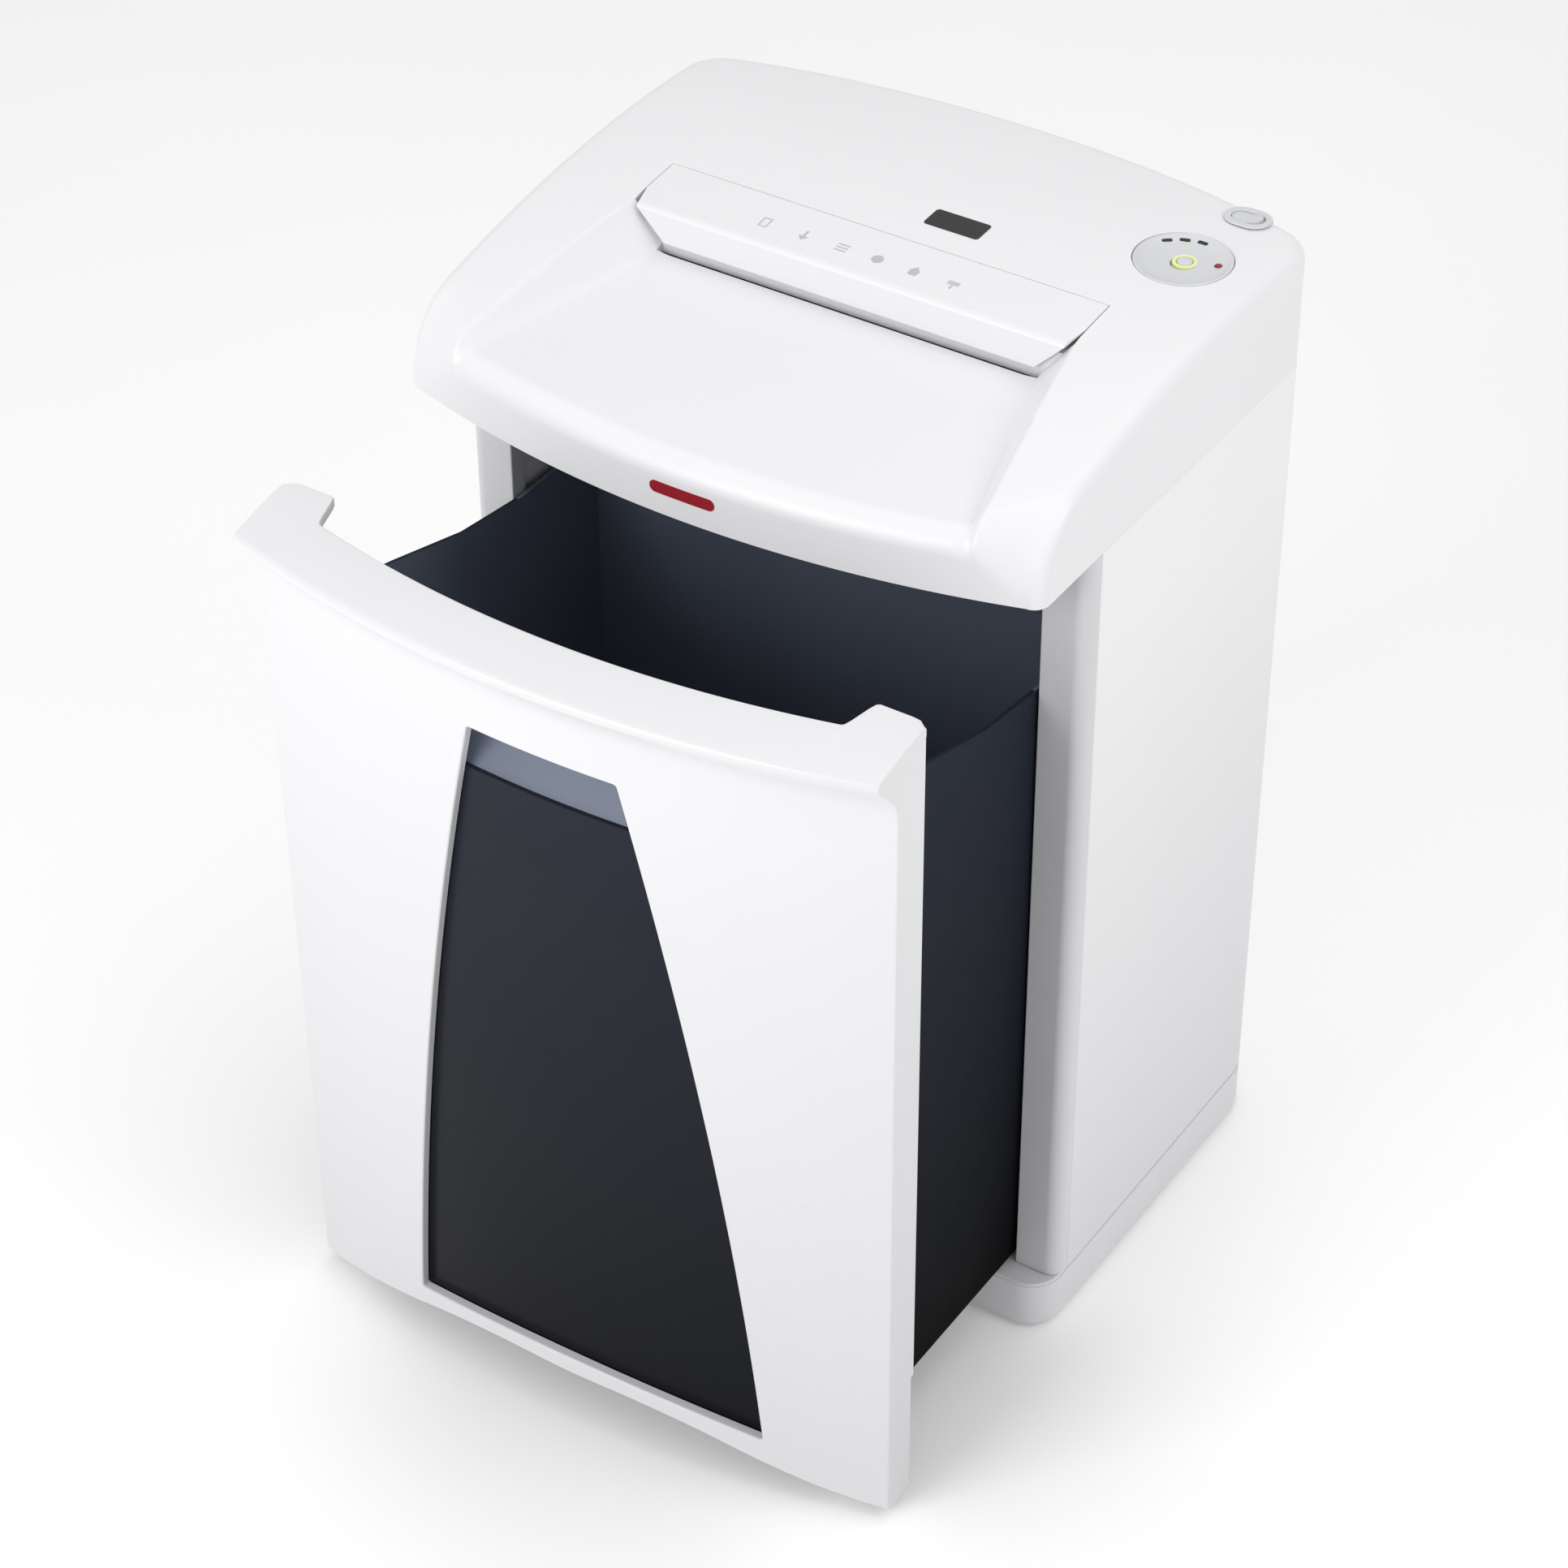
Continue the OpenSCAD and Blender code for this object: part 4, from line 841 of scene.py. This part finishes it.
def pane():
    """The smoked pane behind the window; it ends below the bin's ledge"""
    s = Sheet()
    outline = [(x, min(z, PANE_TOP)) for x, z in grown(window_outline(), 2.5)]
    kept = []
    for p in outline:
        if not kept or math.dist(p, kept[-1]) > 0.05:
            kept.append(p)
    inner = [(x, z) for x in steps(-110, 110, 24) for z in steps(45, 440, 24)]
    s.filled(fill(kept, [], inner, 2), lambda x, z: (x, on_arc(PANE_R, x), z))
    s.thicken(PANE_T, (0, -1, 0))
    return s.piece("smoked_window", "drawer", PANE, in_drawer, slot="window", stands_for=("bin_window",))


pane()


# ---------------------------------------------------------------- plates and marks

def on_deck(name, outline, lift, depth, material, body="housing", slot=None, step=3.0):
    """A thin plate that follows the deck's curve, standing lift above it"""
    s = Sheet()
    xs, ys = [p[0] for p in outline], [p[1] for p in outline]
    inner = [(x, y) for x in steps(min(xs), max(xs), max(2, int((max(xs) - min(xs)) / step)))
             for y in steps(min(ys), max(ys), max(2, int((max(ys) - min(ys)) / step)))]
    s.filled(fill(outline, [], inner, 0.3), lambda x, y: (x, y, deck_z(0, y) + lift))
    s.thicken(depth)
    return s.piece(name, body, material, slot=slot)


def box_outline(x0, x1, y0, y1, r, n=5):
    """A rectangle with rounded corners"""
    return divided(rounded([(x0, y0), (x1, y0), (x1, y1), (x0, y1)], r, n), 3)


on_deck("badge_plate", box_outline(12, 46, 136, 152, 2), 0.3, 0.6, ICON)


def accent_bar():
    """Plain rounded bar in the middle of the fascia"""
    s = Sheet()
    outline = box_outline(-20, 20, 555.5, 562.5, 3.4, 8)
    inner = [(x, z) for x in steps(-18, 18, 12) for z in (557.5, 559, 560.5)]
    s.filled(fill(outline, [], inner, 0.3), lambda x, z: (x, fascia_y(x) - 0.35, z))
    s.thicken(0.7, (0, -1, 0))
    s.piece("accent_bar", "housing", RED)


accent_bar()


SIGN_X, SIGN_Y = (-62, -37, -13, 9, 32, 56), 95


def flap_marks():
    """Six small plain signs in a row on the flap"""
    def bar(x0, x1, y0, y1):
        return [(x0, y0), (x1, y0), (x1, y1), (x0, y1)]

    signs = {
        "sheet": [bar(-2.6, 2.6, -4, -3.3), bar(-2.6, 2.6, 3.3, 4), bar(-2.6, -1.9, -3.3, 3.3),
                  bar(1.9, 2.6, -3.3, 3.3)],
        "arrow": [bar(-0.6, 0.6, -1, 4), [(-3, -1), (0, -4.4), (3, -1)]],
        "bars": [bar(-3.6, 3.6, y, y + 0.9) for y in (-3.2, -0.6, 2)],
        "disc": [circle(0, 0, 3.4, 28)],
        "drop": [[(-2.4, -3.6), (2.4, -3.6), (3, 0.5), (0, 4), (-3, 0.5)]],
        "clip": [bar(-3.4, 3.4, -1, 0.2), bar(-3.4, 3.4, 0.8, 2), bar(-0.6, 0.6, -4.4, -1.6)],
    }
    for (sign, parts), x in zip(signs.items(), SIGN_X):
        s = Sheet()
        for part in parts:
            outline = [(x + px, SIGN_Y + py) for px, py in part]
            top = [(px, py, deck_z(0, py) + 0.12) for px, py in outline]
            low = [(px, py, deck_z(0, py) - 0.3) for px, py in outline]
            s.slab(top, low)
        s.piece("flap_sign_" + sign, "flap", MARK)


flap_marks()

# ---------------------------------------------------------------- control

DISC_Z = 616.1  # height of the deck round the control
BUTTON = (148.0, 180.0)


def turned(name, profile, centre, body, material, stands_for=(), slot=None, n=72, sharp=50):
    """A ring or knob turned about an upright axis, from a closed profile of radius and height"""
    s = Sheet()
    angles = [math.tau * i / n for i in range(n)]
    rings = [[(centre[0] + r * math.cos(a), centre[1] + r * math.sin(a), DISC_Z + z) for a in angles]
             for r, z in profile + profile[:1]]
    s.grid(rings, closed=True)
    return s.piece(name, body, material, sharp=sharp, slot=slot, stands_for=stands_for)


turned("control_dish",
       [(27.2, -6.6), (27.2, -0.5), (27.0, -0.1), (26.5, 0.2), (25.9, 0.25), (25.3, 0.05), (24.6, -0.5),
        (23.4, -1.1), (20, -1.7), (14, -2.15), (9, -2.35), (7.4, -2.4), (7.1, -2.6), (7.1, -6.6)],
       DISC, "housing", CONTROL, ("control_disc",), "control_grey")
turned("ring_light",
       [(6.9, -6.4), (6.9, -2.7), (6.7, -2.3), (6.2, -2.05), (5.5, -2.05), (5.0, -2.3), (4.8, -2.7),
        (4.8, -6.4)],
       BUTTON, "housing", RING, ("light_ring",), "lit_ring")
turned("push_button",
       [(0.0, -1.6), (1.6, -1.62), (3.0, -1.72), (3.8, -1.95), (4.2, -2.4), (4.3, -3.2), (4.3, -6.2),
        (0.0, -6.2)],
       BUTTON, "button", CONTROL, ("control_button",), "control_grey")
turned("lamp_dome",
       [(0.0, -0.75), (0.9, -0.82), (1.7, -1.1), (2.2, -1.6), (2.3, -2.2), (2.3, -3.4), (0.0, -3.4)],
       (DISC[0] + 18, DISC[1] + 6), "housing", LAMP, ("warning_lamp",), "lamp_red")


def dish_marks():
    """Three short plain bars that lie in the dish's hollow"""
    s = Sheet()
    for dx, dy, turn in ((-17.5, 14, 40), (-9.5, 19.5, 20), (0, 21.8, 0)):
        c, k = math.cos(math.radians(turn)), math.sin(math.radians(turn))
        bar = [(DISC[0] + dx + x * c - y * k, DISC[1] + dy + x * k + y * c)
               for x, y in rounded([(-2.9, -1.2), (2.9, -1.2), (2.9, 1.2), (-2.9, 1.2)], 0.8, 4)]
        height = [-1.15 + 0.14 * (math.hypot(x - DISC[0], y - DISC[1]) - 22) for x, y in bar]
        top = [(x, y, DISC_Z + z) for (x, y), z in zip(bar, height)]
        low = [(x, y, z - 1.2) for x, y, z in top]
        s.slab(top, low)
    s.piece("dish_marks", "housing", ICON, slot="icon_black", stands_for=("status_icons",))


dish_marks()

# ---------------------------------------------------------------- carried-over nodes

# node: its material and the width of its rounded edges in mm
SOFT = {
    "bin_tub": (BIN, 1.1), "left_side_board": (LAMINATE, 0.8), "right_side_board": (LAMINATE, 0.8),
    "left_edge_trim": (TRIM, 0.9), "right_edge_trim": (TRIM, 0.9), "base_board": (LAMINATE, 0.9),
    "rear_panel": (HARDBOARD, 0.5), "safety_flap": (FLAP_WHITE, 1.3), "rocker_bezel": (CONTROL, 0.5),
    "mains_rocker": (CONTROL, 0.6), "drawer_rails": (NYLON, 0.6), "mains_inlet": (BLACK, 0.4),
    "rubber_feet": (RUBBER, 0.6),
}
for node, (material, width) in SOFT.items():
    softened(node, material, width)


BIN_FRONT_R, BIN_INNER_X, BIN_INNER_Y, BIN_FLOOR_Z = 656.0, 166.6, 230.8, 43.0


def paint_light_in_bin(tub):
    """Paints light on the bin's inner faces and its front ledge: they take a lighter copy of the bin's plastic,
    painted light standing in for the light that falls in from above
    """
    tub.data.materials.append(BIN_INSIDE_PAINTED_LIGHT)
    for f in tub.data.polygons:
        x, y, z = f.center.x / MM, (f.center.y - DRAWER_Y) / MM, f.center.z / MM
        # the front wall's radius, smaller above where the bin steps back behind the ledge
        front_r = BIN_FRONT_R - 20 * min(max((z - PANE_TOP) / 36, 0), 1)
        ledge = z > PANE_TOP - 2 and f.normal.z > 0.2 and y < 0
        within = (abs(x) < BIN_INNER_X and y < BIN_INNER_Y and z > BIN_FLOOR_Z
                  and math.hypot(x, y - CENTRE_Y) < front_r - 0.8)
        if ledge or within:
            f.material_index = 1


paint_light_in_bin(bpy.data.objects["bin_tub_finish"])

# every other CAD node takes the material of its slot
slot_of = {}
for item in frame["record"].get("materials", []):
    for node in item.get("nodes", []):
        slot_of[node] = item.get("slot")
for node, obj in NODES.items():
    finish = FINISH.get(slot_of.get(node))
    if finish is None:
        for m in obj.data.materials:
            if m and m.name.split(".")[0] in FINISH:
                finish = FINISH[m.name.split(".")[0]]
    if finish:
        for i in range(len(obj.data.materials)):
            obj.data.materials[i] = finish

# ---------------------------------------------------------------- stage, lights and camera

FLOOR_REACH, FLOOR_Z = 30000.0, -0.05
floor = Sheet()
floor.grid([[(x, y, FLOOR_Z) for x in steps(-FLOOR_REACH, FLOOR_REACH, 12)]
            for y in steps(-FLOOR_REACH, FLOOR_REACH, 12)])
mesh = bpy.data.meshes.new("studio_floor")
floor.merge()
for v in floor.bm.verts:
    v.co *= MM
for f in floor.bm.faces:
    if f.normal.z < 0:
        f.normal_flip()
floor.bm.to_mesh(mesh)
mesh.materials.append(FLOOR)
ground = bpy.data.objects.new("studio_floor", mesh)
bpy.context.scene.collection.objects.link(ground)


def softbox(name, place, aim, size, power):
    """An area light that looks at aim; size in metres, power in watts"""
    lamp = bpy.data.lights.new(name, "AREA")
    lamp.shape = "RECTANGLE"
    lamp.size, lamp.size_y = size
    lamp.energy = power
    obj = bpy.data.objects.new(name, lamp)
    bpy.context.scene.collection.objects.link(obj)
    obj.location = place
    obj.rotation_euler = (Vector(aim) - Vector(place)).to_track_quat("-Z", "Y").to_euler()


softbox("key", (-0.55, -2.0, 1.35), (0, -0.1, 0.45), (1.2, 1.2), 20)
softbox("top", (0.1, 0.7, 2.5), (0, 0, 0.5), (1.6, 1.6), 7)
softbox("side", (1.2, 0.0, 1.5), (0.2, 0.1, 0.5), (0.7, 0.7), 4.4)

world = bpy.data.worlds.new("studio")
bpy.context.scene.world = world
world.use_nodes = True
back = world.node_tree.nodes["Background"]
back.inputs["Color"].default_value = (1, 1, 1, 1)
back.inputs["Strength"].default_value = 0.68
bpy.context.scene.view_settings.view_transform = "Standard"

# the camera that fits the photo: angles in radians, focal length and sensor in mm, shift in picture widths,
# and its place in metres from the middle of the cabinet's front edge
TURN, TILT, ROLL = 0.573353, 0.699985, -0.003682
FOCAL, SENSOR = 99.5819, 36
SHIFT_X, SHIFT_Y = -0.009646, 0.111447
CAMERA_X, CAMERA_Y, CAMERA_Z = 1.05803, -1.60880, 1.81264

forward = Vector((-math.sin(TURN) * math.cos(TILT), math.cos(TURN) * math.cos(TILT), -math.sin(TILT)))
level = Vector((math.cos(TURN), math.sin(TURN), 0))
rise = level.cross(forward)
right = level * math.cos(ROLL) + rise * math.sin(ROLL)
up = rise * math.cos(ROLL) - level * math.sin(ROLL)
lens = bpy.data.cameras.new("camera")
lens.sensor_width = SENSOR
lens.lens = FOCAL
lens.shift_x = SHIFT_X
lens.shift_y = SHIFT_Y
lens.clip_end = 100
camera = bpy.data.objects.new("camera", lens)
bpy.context.scene.collection.objects.link(camera)
camera.matrix_world = Matrix((
    (right.x, up.x, -forward.x, CAMERA_X),
    (right.y, up.y, -forward.y, CAMERA_Y + FRONT_Y),
    (right.z, up.z, -forward.z, CAMERA_Z),
    (0, 0, 0, 1)))
bpy.context.scene.camera = camera
